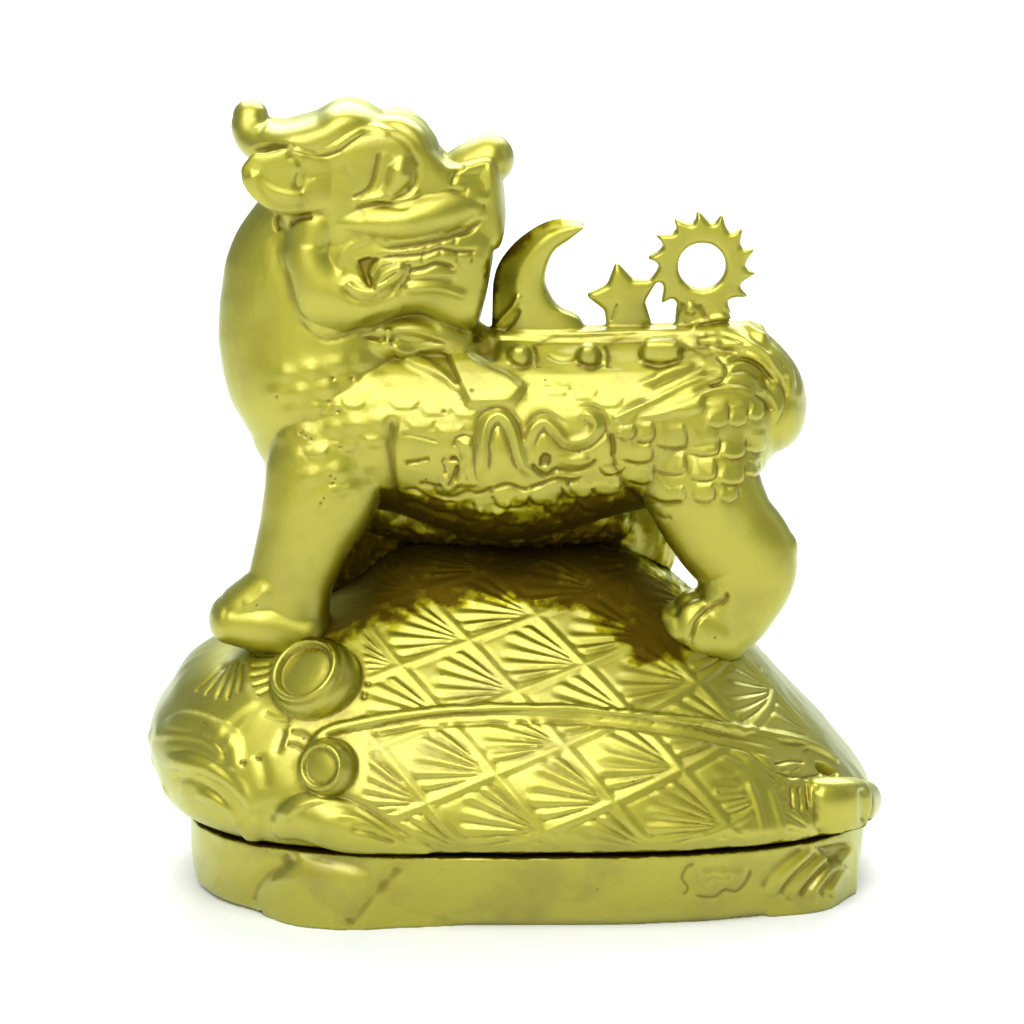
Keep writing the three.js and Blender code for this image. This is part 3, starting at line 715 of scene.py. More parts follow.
cloth_edge = skin_limb(LID, [
    [degrees, t, 0, 0.66 * share * CLOTH_EDGE, 0.66 * share * CLOTH_EDGE]
    for degrees, t, share in [
        (-136.3, 0.35, 0.75), (-135, 0.42, 0.9), (-128.8, 0.465, 1), (-109, 0.525, 1),
        (-74.7, 0.535, 1), (-40.8, 0.505, 1), (-21.5, 0.41, 0.9), (-15, 0.32, 0.65),
    ]
])
petal = skin_limb(LID, [
    [-140, 0.14, 0.7, 0.6 * PETAL_WIDTH, 0.5 * PETAL_WIDTH],
    [-134, 0.17, 0.4, PETAL_WIDTH, 0.7 * PETAL_WIDTH],
    [-126, 0.14, 0.4, 0.9 * PETAL_WIDTH, 0.7 * PETAL_WIDTH],
    [-112, 0.04, 0.5, 0.4 * PETAL_WIDTH, 0.35 * PETAL_WIDTH],
])
knob = skin_limb(LID, [
    [-27, 0.19, 1.3, 1.1 * KNOB_RADIUS, 0.7 * KNOB_RADIUS],
    [-23, 0.15, 0.6, 1.28 * KNOB_RADIUS, 0.85 * KNOB_RADIUS],
    [-18.5, 0.12, 0.5, 1.2 * KNOB_RADIUS, 0.85 * KNOB_RADIUS],
], 2.5, 0.5)
bulge = skin_limb(LID, [
    [-16, 0.1, 0.8, 0.9 * KNOB_RADIUS, 0.8 * KNOB_RADIUS],
    [-10, 0.08, 0.8, 0.8 * KNOB_RADIUS, 0.8 * KNOB_RADIUS],
])
# folds of the leaves at the left end, each as angles round the lid and shares of its profile
folds = [skin_limb(LID, [[degrees, t, 1.3, 1.5, 1.5] for degrees, t in route]) for route in (
    [(-172, 0.25), (-163, 0.33), (-157, 0.35), (-151, 0.33), (-148.5, 0.27)],
    [(-170, 0.21), (-159, 0.245), (-153, 0.25), (-147, 0.22), (-144, 0.14)],
    [(-165, 0.17), (-154, 0.19), (-149, 0.165), (-146, 0.1)],
)]
rolls = [
    roll_end(on_skin(LID, -143.5, 0.56), [-0.42, -0.62, 0.66], 0.98 * ROLL_END_RADIUS),
    roll_end(on_skin(LID, -132.2, 0.32), [-0.42, -0.86, 0.28], SMALL_ROLL_RADIUS),
]

# the lattice's two steps and one crossing, along the cloth and up it, in millimetres
LATTICE_DOWN = np.array([4.2, -4.95])
LATTICE_UP = np.array([6.0, 2.5])
LATTICE_CROSSING = np.array([8.6, 4.85])
RIDGE_HEIGHT = 0.08
RIDGE_WIDTH = 0.3
GROOVE_AWAY = 0.62
GROOVE_WIDTH = 0.22
GROOVE_SHARE = 0.6
NEEDLES = 7
NEEDLE_HEIGHT = 0.17


def cloth_pattern(places):
    """Relief of the cloth. A place is measured along the cloth (the way round the lid's widest ring,
    shrunk with the place's own reach) and up it (the way up the front profile). In the slanting
    lattice of those two, a ridge with a groove at its side runs along each line, and needles spread
    from the right corner of each field: a cosine across the corner's angle, widest at its far end."""
    share_up = np.clip((places[:, 2] - LID_BOTTOM) / LID_HEIGHT, 0, 1)
    x = places[:, 0] - MIDDLE
    y = places[:, 1] - CROWN_BACK * share_up**2
    ring = bundle(LID, turns, 0.25, LID_BOTTOM, LID_HEIGHT) - [MIDDLE, 0, 0]
    way = np.concatenate([[0], np.cumsum(np.linalg.norm(np.diff(ring, axis=0), axis=1))])
    front = int(STEPS_ROUND * 3 / 4)
    turn = np.mod(np.arctan2(-np.abs(y), x), 2 * math.pi)
    size = np.hypot(x, y) / np.interp(turn, turns, np.hypot(ring[:, 0], ring[:, 1]))
    along = (np.interp(turn, turns, way) - way[front]) * size
    profile = through(LID_FRONT, np.linspace(0, 1, 80))[0] * [BUNDLE_DEPTH / 2, LID_HEIGHT]
    climb = np.concatenate([[0], np.cumsum(np.linalg.norm(np.diff(profile, axis=0), axis=1))])
    up = np.interp(share_up * LID_HEIGHT, profile[:, 1], climb)
    grid = np.linalg.inv(np.stack([LATTICE_DOWN, LATTICE_UP], axis=1))
    i, j = grid @ (np.stack([along, up]) - LATTICE_CROSSING[:, None])
    u = 1 - (i - np.floor(i))
    w = 1 - (j - np.floor(j))
    line_gap = np.minimum(
        np.minimum(u, 1 - u) * np.linalg.norm(LATTICE_DOWN),
        np.minimum(w, 1 - w) * np.linalg.norm(LATTICE_UP),
    )
    groove = np.exp(-(((line_gap - GROOVE_AWAY) / GROOVE_WIDTH) ** 2))
    ridge = np.exp(-((line_gap / RIDGE_WIDTH) ** 2)) - GROOVE_SHARE * groove
    radius = u + w
    share = w / np.maximum(radius, 1e-6)
    fan = 0.5 - 0.5 * np.cos(2 * math.pi * (NEEDLES * share))
    wide = ease((radius - 0.14) / 0.3) * ease((0.96 - np.maximum(u, w)) / 0.1) * ease((1.5 - radius) / 0.25)
    needles = (fan**0.8 - 0.45) * wide * ease((line_gap - 0.35) / 0.4)
    return RIDGE_HEIGHT * ridge + NEEDLE_HEIGHT * needles


def pits(points, radius, depth):
    """Small round holes."""
    points = np.asarray(points, float)

    def press(spots):
        gap = np.min([np.hypot(*(spots - point).T) for point in points], axis=0)
        return -depth * np.exp(-((gap / radius) ** 2))

    return points, 3 * radius, press


lid_cuts = [
    # cloth edge: two fine grooves beside the roll of the edge
    line([(360, 730), (400, 722), (440, 716), (500, 713), (560, 711), (620, 716), (680, 724), (740, 738),
          (800, 754)], 2.4, -0.16),
    line([(350, 738), (395, 730), (440, 725), (500, 723), (560, 722), (620, 727), (680, 735), (735, 747),
          (790, 760)], 2.4, -0.16),
    # left leaves: long soft steps, and shallow veins between them
    lap([(262, 700), (240, 714), (224, 730), (220, 748), (226, 764)], 24, 0.16, 5),
    lap([(254, 818), (240, 797), (220, 780), (192, 769), (158, 766)], 22, 0.24, 4),
    lap([(226, 757), (204, 743), (178, 738), (152, 740)], 20, 0.22, 4),
    lap([(240, 828), (222, 808), (200, 799), (176, 798)], 16, 0.2, 4),
    line([(162, 752), (188, 753), (212, 762), (232, 779), (244, 798)], 4, -0.12),
    line([(168, 778), (194, 780), (214, 792), (230, 808)], 4, -0.12),
    line([(160, 722), (184, 722), (210, 730)], 5, -0.08),
    line([(258, 752), (264, 770), (266, 790)], 6, -0.1),
    line([(285, 728), (280, 742), (276, 756)], 4, -0.12),
    line([(292, 724), (288, 738), (284, 750)], 3, 0.12),
    line([(262, 712), (276, 718), (292, 720)], 3, -0.12),
    line([(290, 731), (302, 733), (312, 740)], 2.6, -0.18),
    line([(287, 744), (297, 746), (305, 753)], 2.6, -0.18),
    # short needles left of the large roll, and the fan at the far left
    *[line([(x0, y0), (x0 + dx, y0 + dy)], 1.8, -0.2) for x0, y0, dx, dy in [
        (253, 655, 22, 0), (250, 667, 23, -3), (249, 676, 23, -5), (251, 686, 21, -7), (256, 695, 16, -8),
    ]],
    *[line([(x0, y0), (x1, y1)], 1.8, -0.18) for x0, y0, x1, y1 in [
        (226, 664, 194, 692), (230, 662, 204, 697), (235, 660, 216, 701), (240, 657, 227, 702),
        (244, 661, 239, 694),
    ]],
    # petal over the seam
    lap([(428, 848), (400, 836), (372, 818), (346, 804), (318, 803), (296, 812), (286, 826)], 16, 0.3, 3),
    line([(440, 850), (402, 832), (374, 813), (346, 799), (316, 798)], 4, -0.2),
    line([(350, 828), (374, 834), (398, 844)], 3, -0.14),
    line([(330, 816), (356, 818), (384, 832), (410, 846)], 3, 0.12),
    # right end: ribs, fold hole and the knob's neck
    line([(747, 780), (756, 800), (762, 822), (765, 838)], 3.4, 0.16),
    line([(770, 786), (776, 804), (781, 822), (784, 836)], 3.4, 0.14),
    pad([(815, 760), (827, 763), (838, 772), (834, 777), (822, 774), (816, 768)], 5, -0.9),
    line([(770, 770), (790, 776), (812, 776), (822, 772)], 2.4, -0.2),
    line([(772, 764), (790, 760), (806, 762)], 2, -0.18),
    *[line([(x, 784), (x + 3, 812)], 1.8, -0.16) for x in (790, 798, 806, 813)],
    line([(819, 784), (816, 800), (817, 820), (822, 838)], 4, -0.26),
    line([(862, 786), (864, 806), (864, 826)], 4, -0.3),
    pits([(368, 683), (365, 693), (364, 697), (243, 763), (258, 758)], 2, 0.3),
]

lid = fused("lid_casting", [mound, cloth_edge, petal, knob, bulge, *rolls, *folds], cell=0.17, rounds=2)
places, normals = skin_of(lid)
spots = spots_of(places)
# the cloth lies right of the leaves, clear of rolls, edge and knob, and fades on the plain right end
cloth = ease((spots[:, 0] - 358) / 12)
for x, y, r in ((320, 680, 46), (330, 768, 36)):
    cloth *= ease((np.hypot(spots[:, 0] - x, spots[:, 1] - y) - r) / 6)
edge_path = smooth_path([(305, 762), (325, 735), (377, 722), (450, 714), (560, 713), (660, 728), (740, 742),
                         (800, 758)])
cloth *= ease((distances(spots, edge_path)[0] - 6) / 4)
plain_from = 745 + (spots[:, 1] - 650) * 0.85
cloth *= 1 - ease((spots[:, 0] - plain_from + 8) / 16) * (spots[:, 1] < 770)
petal_line = smooth_path([(286, 830), (296, 808), (346, 799), (374, 813), (402, 832), (450, 856)])
gap, side, _ = distances(spots, petal_line)
cloth *= ease((-gap * side - 4) / 5)
ribs = smooth_path([(752, 776), (764, 800), (771, 822), (774, 842)])
cloth *= ease((distances(spots, ribs)[0] - 12) / 6) * ease((812 - spots[:, 0]) / 12)
cloth *= ease((places[:, 2] - LID_BOTTOM - 0.5) / 0.8)
# the outer skin faces away from the lid's middle, the inside towards it
share_up = (places[:, 2] - LID_BOTTOM) / LID_HEIGHT
outward = np.column_stack([places[:, :2] - [MIDDLE, 0], 12 * share_up])
is_outer = np.sum(normals * outward, axis=1) > 0
# painted shade: the upward faces of the crown between the four feet, under the belly, and the open seam
# are painted dark brown, where shade falls; the ridges of the cloth stand out of the painted shade
belly_shade_arch = smooth_path([(318, 612), (350, 592), (420, 572), (500, 562), (580, 572), (634, 600),
                          (656, 628)])
painted_shade = ease((60 - distances(spots, belly_shade_arch)[0]) / 40) * ease((normals[:, 2] - 0.1) / 0.3)
painted_shade *= is_outer
relief = cloth * (1 - 0.75 * painted_shade) * cloth_pattern(places) * is_outer
painted_shade *= 1 - 0.3 * ease(relief / 0.06)
painted_shade = np.maximum(painted_shade, ease((LID_BOTTOM + SEAM_SHADE_DEPTH - places[:, 2]) / 0.2))
height = relief + (carved(places, normals, lid_cuts) + UNEVENNESS * uneven(places, size=3, seed=5))
places += normals * height[:, None]
places[:, 2] = np.maximum(places[:, 2], LID_BOTTOM)
finished(lid, places, 190_000, painted_shade)
lid.data.materials.append(brass("lid_brass", stain=0.7, depth=0.75, roughness=0.44, grain=0.2))
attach(lid, "root")
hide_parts("bundle_lid")

# The figure is one casting. Its forms are drawn in hundredths of its height, from the lowest sole,
# or on the drawing, and are fused at the end. Trunk first: barrel, neck and the mane below the chin.
FIGURE_HEIGHT = 50.0
STANDING = LID_BOTTOM + 0.6 * LID_HEIGHT
HUNDREDTH = FIGURE_HEIGHT / 100


def animal(rows, square=2.0, cap=0.8, mirror=False):
    """A limb in hundredths of the figure's height, on the near side or on the far one."""
    rows = np.array(rows, float)
    rows[:, 1] *= -1 if mirror else 1
    grid = limb(rows * HUNDREDTH, square, cap)
    return grid + [MIDDLE, 0, STANDING]


barrel = [
    [-40, 0, 40, 9, 10], [-32, 0, 40.5, 14.5, 14], [-20, 0, 40, 15.5, 15.5], [-2, 0, 38, 18.6, 16.5],
    [16, 0, 40, 16.2, 16], [32, 0, 42, 14.6, 15.5], [41.5, 0, 43.5, 12.5, 13], [45, 0, 44, 9, 9.5],
]
neck = [
    [-35, 0, 34, 10, 10], [-34.8, 0, 45, 15.7, 13], [-35.4, 0, 57, 17.4, 11.6], [-36.4, 0, 68, 15, 10.4],
    [-34.5, 0, 78, 11, 9],
]
mane = [[-29, 0, 55, 6, 10], [-18, 0, 57.4, 5.6, 9.4], [-9, 0, 55.6, 4, 7.6], [-3, 0, 54.6, 2.4, 5]]
forms = [animal(barrel), animal(neck), animal(mane)]


def scale(x, top, half, drop, height, square):
    """The step and the fine line at a scale's lower edge, which is rounder the lower square is."""
    rim = [(x + half, top), (x + half, top + square * drop), (x + 0.62 * half, top + 0.93 * drop),
           (x, top + drop), (x - 0.62 * half, top + 0.93 * drop), (x - half, top + square * drop),
           (x - half, top)]
    return [lap(rim, 10, height, 2.2), line(rim[::-1], 2.2, -0.45 * height)]


def lumps(points, wide, high, height):
    """Soft raised spots: over each point a bell of this half width and half height, and the highest
    of them counts."""
    points = np.asarray(points, float)

    def press(spots):
        bells = [
            np.exp(-((spots[:, 0] - x) / wide) ** 2 - ((spots[:, 1] - y) / high) ** 2)
            for x, y in points
        ]
        return height * np.max(bells, axis=0)

    return points, 2.5 * max(wide, high), press


SHINGLE_HEIGHT = 0.22


def shingle(left, top, right, bottom):
    """A slanted scale: its right and lower edges stand up in one step with a square corner, and a
    fine dark line runs below them."""
    rim = [(right, top), (right + 1, bottom - 5), (right - 4, bottom), (0.5 * (left + right), bottom + 1),
           (left, bottom - 3)]
    below = [(x + 1.5, y + 2) for x, y in rim]
    return [lap(rim, 16, SHINGLE_HEIGHT, 2.6), line(below, 2.4, -0.3 * SHINGLE_HEIGHT)]


flank_cuts = [
    # groove behind the shoulder
    line([(393, 414), (391, 433), (389, 447), (390, 465), (393, 485), (398, 506)], 5, -0.42),
    lap([(397, 500), (396, 480), (396, 455), (397, 425)], 22, 0.16, 4),
    # dark hollows under the jaw and beside the first spine knob
    pad([(360, 337), (378, 331), (398, 329), (420, 332), (441, 340), (447, 345), (432, 349), (408, 351),
         (385, 346)], 8, -0.5),
    pad([(466, 346), (472, 331), (485, 325), (499, 334), (502, 350), (495, 362), (480, 358)], 9, -0.5),
    line([(389, 328), (388, 337), (388, 346)], 3, 0.35),
    # two pointed locks of the mane
    pad([(388, 343), (397, 340), (409, 345), (424, 354), (438, 363), (448, 371), (456, 380), (460, 392),
         (447, 388), (430, 379), (412, 371), (398, 361)], 8, 0.36),
    line([(392, 352), (410, 366), (432, 376), (452, 386)], 2.4, -0.08),
    pad([(441, 351), (449, 346), (467, 345), (476, 355), (496, 365), (514, 373), (527, 386), (522, 399),
         (510, 409), (490, 410), (468, 409), (460, 396), (451, 380), (445, 365)], 10, 0.42),
    line([(444, 352), (450, 366), (459, 386)], 2.6, -0.26),
    line([(466, 352), (488, 367), (510, 377), (521, 388)], 2.6, -0.12),
    # worn scales of the shoulder and of the upper flank
    lumps([(286, 374), (312, 370), (338, 364), (362, 362), (278, 394), (299, 392), (326, 388), (352, 382),
           (374, 380), (290, 414), (314, 410), (340, 404), (366, 402), (384, 392), (283, 436), (305, 433),
           (330, 428), (356, 424), (378, 420), (296, 456), (321, 452), (347, 447), (370, 442), (312, 476),
           (338, 471), (362, 466), (328, 496), (352, 490), (374, 486)], 11, 8, 0.16),
    *[cut for x, y, half in [
        (326, 402, 12), (354, 397, 12), (316, 446, 12), (345, 440, 12), (376, 436, 11), (340, 484, 12),
        (404, 398, 15), (436, 404, 16), (466, 406, 14), (420, 418, 14), (450, 424, 14), (608, 396, 15),
        (582, 388, 15), (624, 412, 12), (556, 384, 14),
    ] for cut in scale(x, y, half, 12, 0.09, 0.4)],
    # fine lines behind the shoulder
    line([(399, 433), (419, 436), (441, 442)], 2.2, -0.1),
    line([(404, 463), (416, 462), (432, 458)], 2.2, -0.24),
    line([(418, 484), (426, 484), (436, 487), (443, 484)], 2.2, -0.22),
    line([(441, 458), (449, 460), (457, 457)], 2.2, -0.14),
    line([(441, 459), (444, 467), (446, 474)], 2.2, -0.16),
    pad([(437, 481), (441, 475), (450, 474), (457, 480), (458, 489), (448, 494), (440, 490)], 7, 0.32),
    line([(432, 482), (438, 494), (450, 498), (463, 494), (472, 490)], 2.4, -0.24),
    lap([(470, 500), (450, 503), (438, 497), (431, 484)], 10, 0.12, 2.5),
    line([(400, 491), (415, 490), (428, 498), (444, 503), (458, 502)], 2.2, -0.24),
    line([(402, 503), (418, 505), (433, 512), (452, 516), (466, 522)], 2.2, -0.24),
    # flame: a tongue, an arch, and a wave that ends in a curl, each a raised band with dark edges
    pad([(456, 440), (465, 438), (476, 442), (475, 458), (476, 474), (478, 486), (464, 488), (449, 484),
         (458, 474), (452, 462), (460, 454)], 7, 0.3),
    line([(449, 458), (458, 462), (455, 474), (447, 487)], 2.3, -0.3),
    line([(454, 448), (455, 439), (464, 435), (475, 437)], 2.3, -0.14),
    line([(464, 446), (468, 458), (465, 472), (470, 484)], 2.3, -0.12),
    line([(479, 487), (481, 462), (483, 438), (488, 422), (498, 415), (508, 421), (515, 436), (519, 452),
          (524, 468), (532, 479)], 4.4, 0.34),
    line([(524, 452), (528, 436), (535, 426), (545, 422), (556, 430), (566, 440), (578, 441), (590, 436),
          (596, 426), (592, 417), (584, 415), (579, 421)], 4.4, 0.34),
    line([(472, 478), (473, 456), (475, 432), (482, 414), (497, 407), (511, 412), (520, 426), (524, 438),
          (528, 426), (535, 416), (547, 413), (560, 420), (570, 430)], 2.3, -0.15),
    line([(489, 480), (490, 458), (491, 438), (497, 425), (504, 432), (509, 446), (513, 460), (519, 474)],
         2.6, -0.18),
    line([(534, 458), (536, 442), (543, 432), (552, 438), (562, 448), (576, 451), (592, 446), (604, 434),
          (606, 420), (598, 409), (586, 406), (576, 410)], 2.6, -0.15),
    pad([(538, 458), (544, 452), (552, 456), (551, 464), (545, 468), (538, 466)], 4, -0.4),
    line([(530, 462), (538, 472), (548, 476), (556, 470), (566, 472)], 2.3, -0.34),
    line([(462, 492), (478, 494), (494, 489), (508, 486), (524, 490), (542, 485), (556, 480), (574, 482),
          (586, 474)], 2.4, -0.3),
    pad([(556, 454), (568, 456), (584, 454), (592, 460), (584, 468), (570, 468), (558, 464)], 6, 0.22),
    line([(560, 470), (574, 472), (588, 468), (598, 458)], 2.3, -0.24),
    line([(611, 432), (614, 446), (612, 458)], 2.4, -0.2),
    # round scales low on the flank
    *[cut for x, top, half, drop in [
        (511, 483, 19, 24), (545, 485, 16, 20), (492, 498, 17, 17), (519, 506, 25, 19), (470, 504, 13, 16),
        (560, 498, 15, 16), (578, 482, 15, 16), (596, 496, 17, 15), (480, 521, 15, 12), (545, 518, 17, 12),
        (577, 511, 16, 12), (606, 481, 14, 14), (612, 463, 11, 12), (440, 516, 18, 12), (510, 528, 14, 8),
    ] for cut in scale(x, top, half, drop, 0.26, 0.5)],
    line([(571, 478), (570, 489), (579, 498), (590, 502)], 2.2, -0.16),
    # haunch: strands above, rows of stepped scales below
    *[line(strand, 3, 0.16) for strand in [
        [(606, 424), (628, 411), (656, 399), (684, 384), (708, 376)],
        [(640, 402), (664, 389), (688, 377), (708, 370)],
        [(652, 376), (672, 368), (690, 360), (708, 356)],
        [(636, 386), (656, 378), (676, 370), (696, 364)],
        [(690, 400), (714, 390), (738, 389), (757, 396)],
    ]],
    *[line(strand, 2.4, -0.14) for strand in [
        [(612, 416), (634, 405), (660, 392), (690, 378), (716, 373), (726, 378)],
        [(646, 390), (668, 380), (690, 370), (706, 364)],
        [(690, 394), (714, 384), (738, 383), (757, 389)],
    ]],
    pad([(638, 418), (654, 409), (676, 401), (702, 394), (705, 405), (700, 414), (680, 418), (660, 421)],
        8, 0.28),
    line([(606, 425), (612, 440), (614, 458), (618, 474), (628, 492), (640, 500)], 3, -0.24),
    *[cut for left, top, right, bottom in [
        (704, 398, 726, 425), (726, 397, 745, 424), (746, 397, 763, 418),
        (614, 423, 633, 438), (633, 420, 652, 440), (652, 421, 684, 446), (685, 429, 717, 453),
        (718, 432, 743, 456), (744, 428, 764, 450),
        (620, 441, 650, 461), (652, 449, 684, 472), (686, 456, 714, 478), (716, 459, 742, 482),
        (744, 453, 760, 474),
        (626, 463, 651, 482), (632, 484, 683, 501), (690, 481, 712, 500), (716, 485, 736, 500),
    ] for cut in shingle(left, top, right, bottom)],
    line([(632, 500), (648, 498), (665, 503), (683, 501)], 2.4, -0.18),
    line([(655, 514), (663, 519), (672, 518)], 2.4, -0.1),
    # casting pits
    pits([(333, 378), (329, 401), (352, 378), (338, 411), (277, 396), (301, 433), (306, 436), (311, 439),
          (331, 476), (335, 479), (333, 483), (324, 498), (321, 503), (444, 412), (472, 392), (340, 447)],
         2, 0.14),
]

# Head. It is turned back over the trunk: a broad skull and a square closed muzzle, an upturned nose,
# a long upper lip, a leaf-shaped ear, a drop-shaped eye below a rolled brow, and a round cheek.
def off_sheet(rows):
    """Rows of [across, down, y, half height, half depth] turned into [x, y, z, half height, half
    depth]: across, down and half height are on the drawing, y and half depth in millimetres. The
    line of sight through the place is followed until it reaches y."""
    rows = np.asarray(rows, float)
    slope = (SHEET / 2 - rows[:, 1]) / UNITS_ACROSS
    ray = SIGHT + np.outer((rows[:, 0] - SHEET / 2) / UNITS_ACROSS, [1, 0, 0]) + np.outer(slope, UPWARD)
    far = (rows[:, 2] - EYE[1]) / ray[:, 1]
    place = EYE + ray * far[:, None]
    return np.column_stack([place, rows[:, 3] * far / UNITS_ACROSS, rows[:, 4]])


def drawn_limb(rows, square=2.0, cap=0.8, mirror=False):
    """A limb whose places and half heights are on the drawing, and y and half depth in
    millimetres."""
    rows = off_sheet(rows)
    rows[:, 1] *= -1 if mirror else 1
    return limb(rows, square, cap)


def both(maker, rows, **shape):
    """The limb on the near side, and its mirror image on the far one."""
    return [maker(rows, mirror=side, **shape) for side in (False, True)]


skull = [
    [-38, 0, 75.6, 12, 10], [-31, 0, 78, 15, 11.9], [-23, 0, 80, 15, 11.9], [-16.5, 0, 80, 12.2, 11.2],
    [-11, 0, 80, 7.8, 10.2], [-4, 0, 80.6, 8.2, 8.2],
]
nose = [[-11, 0, 83.6, 4.4, 7], [-8.2, 0, 85.8, 4.6, 6.6], [-4, 0, 88, 4.4, 5.6]]
muzzle = [
    [-36, 0, 69, 10.5, 10.4], [-30, 0, 68.8, 11.6, 12.2], [-17, 0, 70.4, 9.6, 12.8],
    [-8, 0, 68.4, 11, 10.4], [-5.6, 0, 68, 11, 9.4],
]
forehead = [
    [345, 124, 0, 14, 3.6], [375, 127, 0, 13, 4], [402, 131, 0, 18, 4.4], [420, 143, 0, 17, 4.4],
    [432, 161, 0, 12, 4],
]
cheek = [
    [318, 222, -2.9, 34, 3.2], [312, 256, -3.1, 30, 3.3], [327, 288, -3.6, 40, 3.3],
    [356, 293, -3.6, 38, 3.2], [392, 288, -3.4, 28, 3.1],
]
lip = [
    [332, 222, -4.2, 12, 1.6], [366, 221, -4.4, 18, 2.3], [404, 219, -4.2, 24, 2.8],
    [438, 211, -3.6, 25, 2.7], [464, 203, -2.9, 21, 2.3], [484, 196, -2.2, 15, 1.9],
]
brow = [
    [366, 127, -1.7, 7, 1.8], [384, 123, -2, 9, 2], [402, 126, -2.5, 11, 2.2], [416, 136, -2.9, 11, 2.2],
    [425, 150, -3.2, 9, 2], [430, 164, -3.4, 6, 1.6],
]
eye = [
    [401, 163, -3.7, 15, 2.4], [397, 176, -3.95, 20, 2.7], [387, 189, -4.4, 14, 2.1],
    [368, 198, -4.9, 7, 1.1],
]
ear = [
    [352, 182, -4.3, 15, 1.1], [326, 182, -4.9, 28, 1.2], [302, 181, -5.3, 33, 1.2],
    [286, 179, -5.5, 34, 1.1], [271, 176, -5.6, 30, 1], [259, 170, -5.6, 23, 0.9],
    [249, 162, -5.5, 13, 0.7],
]
forms += [animal(skull, 8, 0.3), animal(nose, cap=0.9), animal(muzzle, 3, 0.15), drawn_limb(forehead)]
for rows in (cheek, lip, brow, eye):
    forms += both(drawn_limb, rows)
forms += both(drawn_limb, ear, square=5, cap=0.4)

head_cuts = [
    # outline of cheek and jaw against the neck
    lap([(469, 336), (461, 333), (445, 329), (433, 322), (417, 316), (397, 314), (373, 317), (357, 325),
         (345, 332), (329, 336), (315, 331), (305, 320), (299, 306), (295, 290), (291, 275), (284, 263),
         (281, 247), (284, 231)], 24, 0.34, 6),
    line([(299, 308), (304, 322), (315, 333), (329, 338), (346, 334), (358, 327), (374, 319), (397, 316),
          (417, 318), (433, 324), (447, 332)], 4.4, -0.16),
    line([(281, 234), (278, 247), (281, 263), (288, 277), (291, 292), (297, 312)], 9, -0.1),
    line([(396, 312), (416, 311), (436, 318), (452, 326), (468, 332)], 5, -0.22),
    # lower jaw
    line([(402, 289), (417, 288), (437, 288), (453, 292), (469, 298)], 4.5, 0.24),
    line([(404, 280), (420, 279), (440, 279), (456, 283)], 4, -0.1),
    line([(408, 272), (425, 268), (438, 264), (458, 269)], 2.4, -0.36),
    line([(405, 276), (430, 275), (458, 275)], 2.4, 0.1),
    # upper lip and closed mouth
    lap([(489, 212), (470, 224), (455, 229), (435, 237), (415, 242), (395, 243), (370, 240)],
        14, 0.24, 3.5),
    line([(379, 247), (395, 248), (409, 246), (425, 243), (438, 240), (455, 235), (470, 230), (486, 217)],
         2.6, -0.28),
    line([(376, 258), (397, 256), (407, 256), (425, 254), (441, 249), (461, 252), (483, 249)], 2.4, -0.28),
    *[line([(x, y), (x - 3, y + 8)], 2, -0.1) for x, y in ((412, 247), (428, 244), (443, 241), (457, 237))],
    *[line([(x, 250), (x - 1, 263)], 2, -0.1) for x in (424, 441, 458, 473)],
    # swirl at the mouth's corner, with the fang
    line([(346, 277), (341, 267), (343, 255), (350, 246), (362, 240), (376, 238)], 4.5, 0.14),
    pad([(356, 260), (368, 256), (381, 258), (375, 264), (371, 272), (374, 282), (370, 289), (362, 280),
         (357, 269)], 5, -0.6),
    line([(340, 285), (352, 297), (369, 301), (386, 296), (398, 286)], 4, -0.17),
    line([(346, 281), (354, 289), (368, 293), (381, 290)], 3, 0.22),
    pad([(372, 283), (376, 272), (388, 264), (401, 261), (407, 268), (404, 278), (395, 286), (383, 292),
         (374, 291)], 7, 0.5),
    line([(376, 288), (385, 279), (400, 269)], 2, -0.12),
    line([(408, 262), (411, 270), (407, 281), (399, 289)], 2.4, -0.2),
    # eye: its bulge, dark right corner and lower lid
    lap([(356, 198), (368, 193), (374, 181), (377, 165), (381, 149)], 16, 0.14, 3.4),
    line([(380, 148), (376, 165), (372, 181), (364, 192), (350, 198)], 2.8, -0.2),
    line([(408, 152), (415, 163), (417, 175), (414, 185), (406, 192)], 3.6, -0.16),
    line([(349, 203), (365, 200), (381, 198), (397, 201), (410, 198), (420, 188)], 3.4, 0.26),
    line([(352, 209), (368, 206), (384, 205), (400, 208), (412, 205)], 3, -0.1),
    # undersides of the brow and of the crest
    line([(384, 133), (397, 137), (408, 146), (416, 158), (420, 170)], 3.2, -0.14),
    line([(247, 152), (262, 147), (282, 145), (302, 149), (322, 154), (338, 150), (352, 140), (366, 132),
          (384, 130)], 2.8, -0.22),
    lap([(390, 129), (366, 132), (352, 140), (338, 150), (322, 154), (302, 149), (282, 145), (262, 147),
         (245, 152)], 14, 0.34, 2.4),
    # hollow of the ear
    lap([(304, 194), (294, 187), (294, 176), (299, 168), (295, 161), (284, 156)], 12, -0.26, 3),
    line([(300, 170), (316, 172), (334, 170), (350, 166)], 16, -0.16),
    lap([(257, 170), (262, 181), (275, 189), (290, 193), (304, 194)], 12, 0.2, 4),
    line([(250, 166), (254, 184), (264, 200), (276, 208), (291, 210), (308, 207)], 4, 0.16),
    line([(288, 226), (295, 220), (305, 217), (313, 216)], 3, -0.3),
    line([(277, 214), (276, 223), (280, 231)], 2.6, -0.2),
    # nostril and nose
    pad([(448, 179), (456, 169), (470, 162), (488, 157), (494, 164), (493, 181), (487, 192), (469, 188),
         (455, 183)], 20, -0.42),
    line([(466, 190), (479, 194), (490, 199)], 4, 0.12),
    line([(452, 186), (455, 174), (465, 164)], 3.4, -0.2),
    line([(446, 186), (462, 194), (478, 203), (488, 207)], 3.4, -0.12),
]

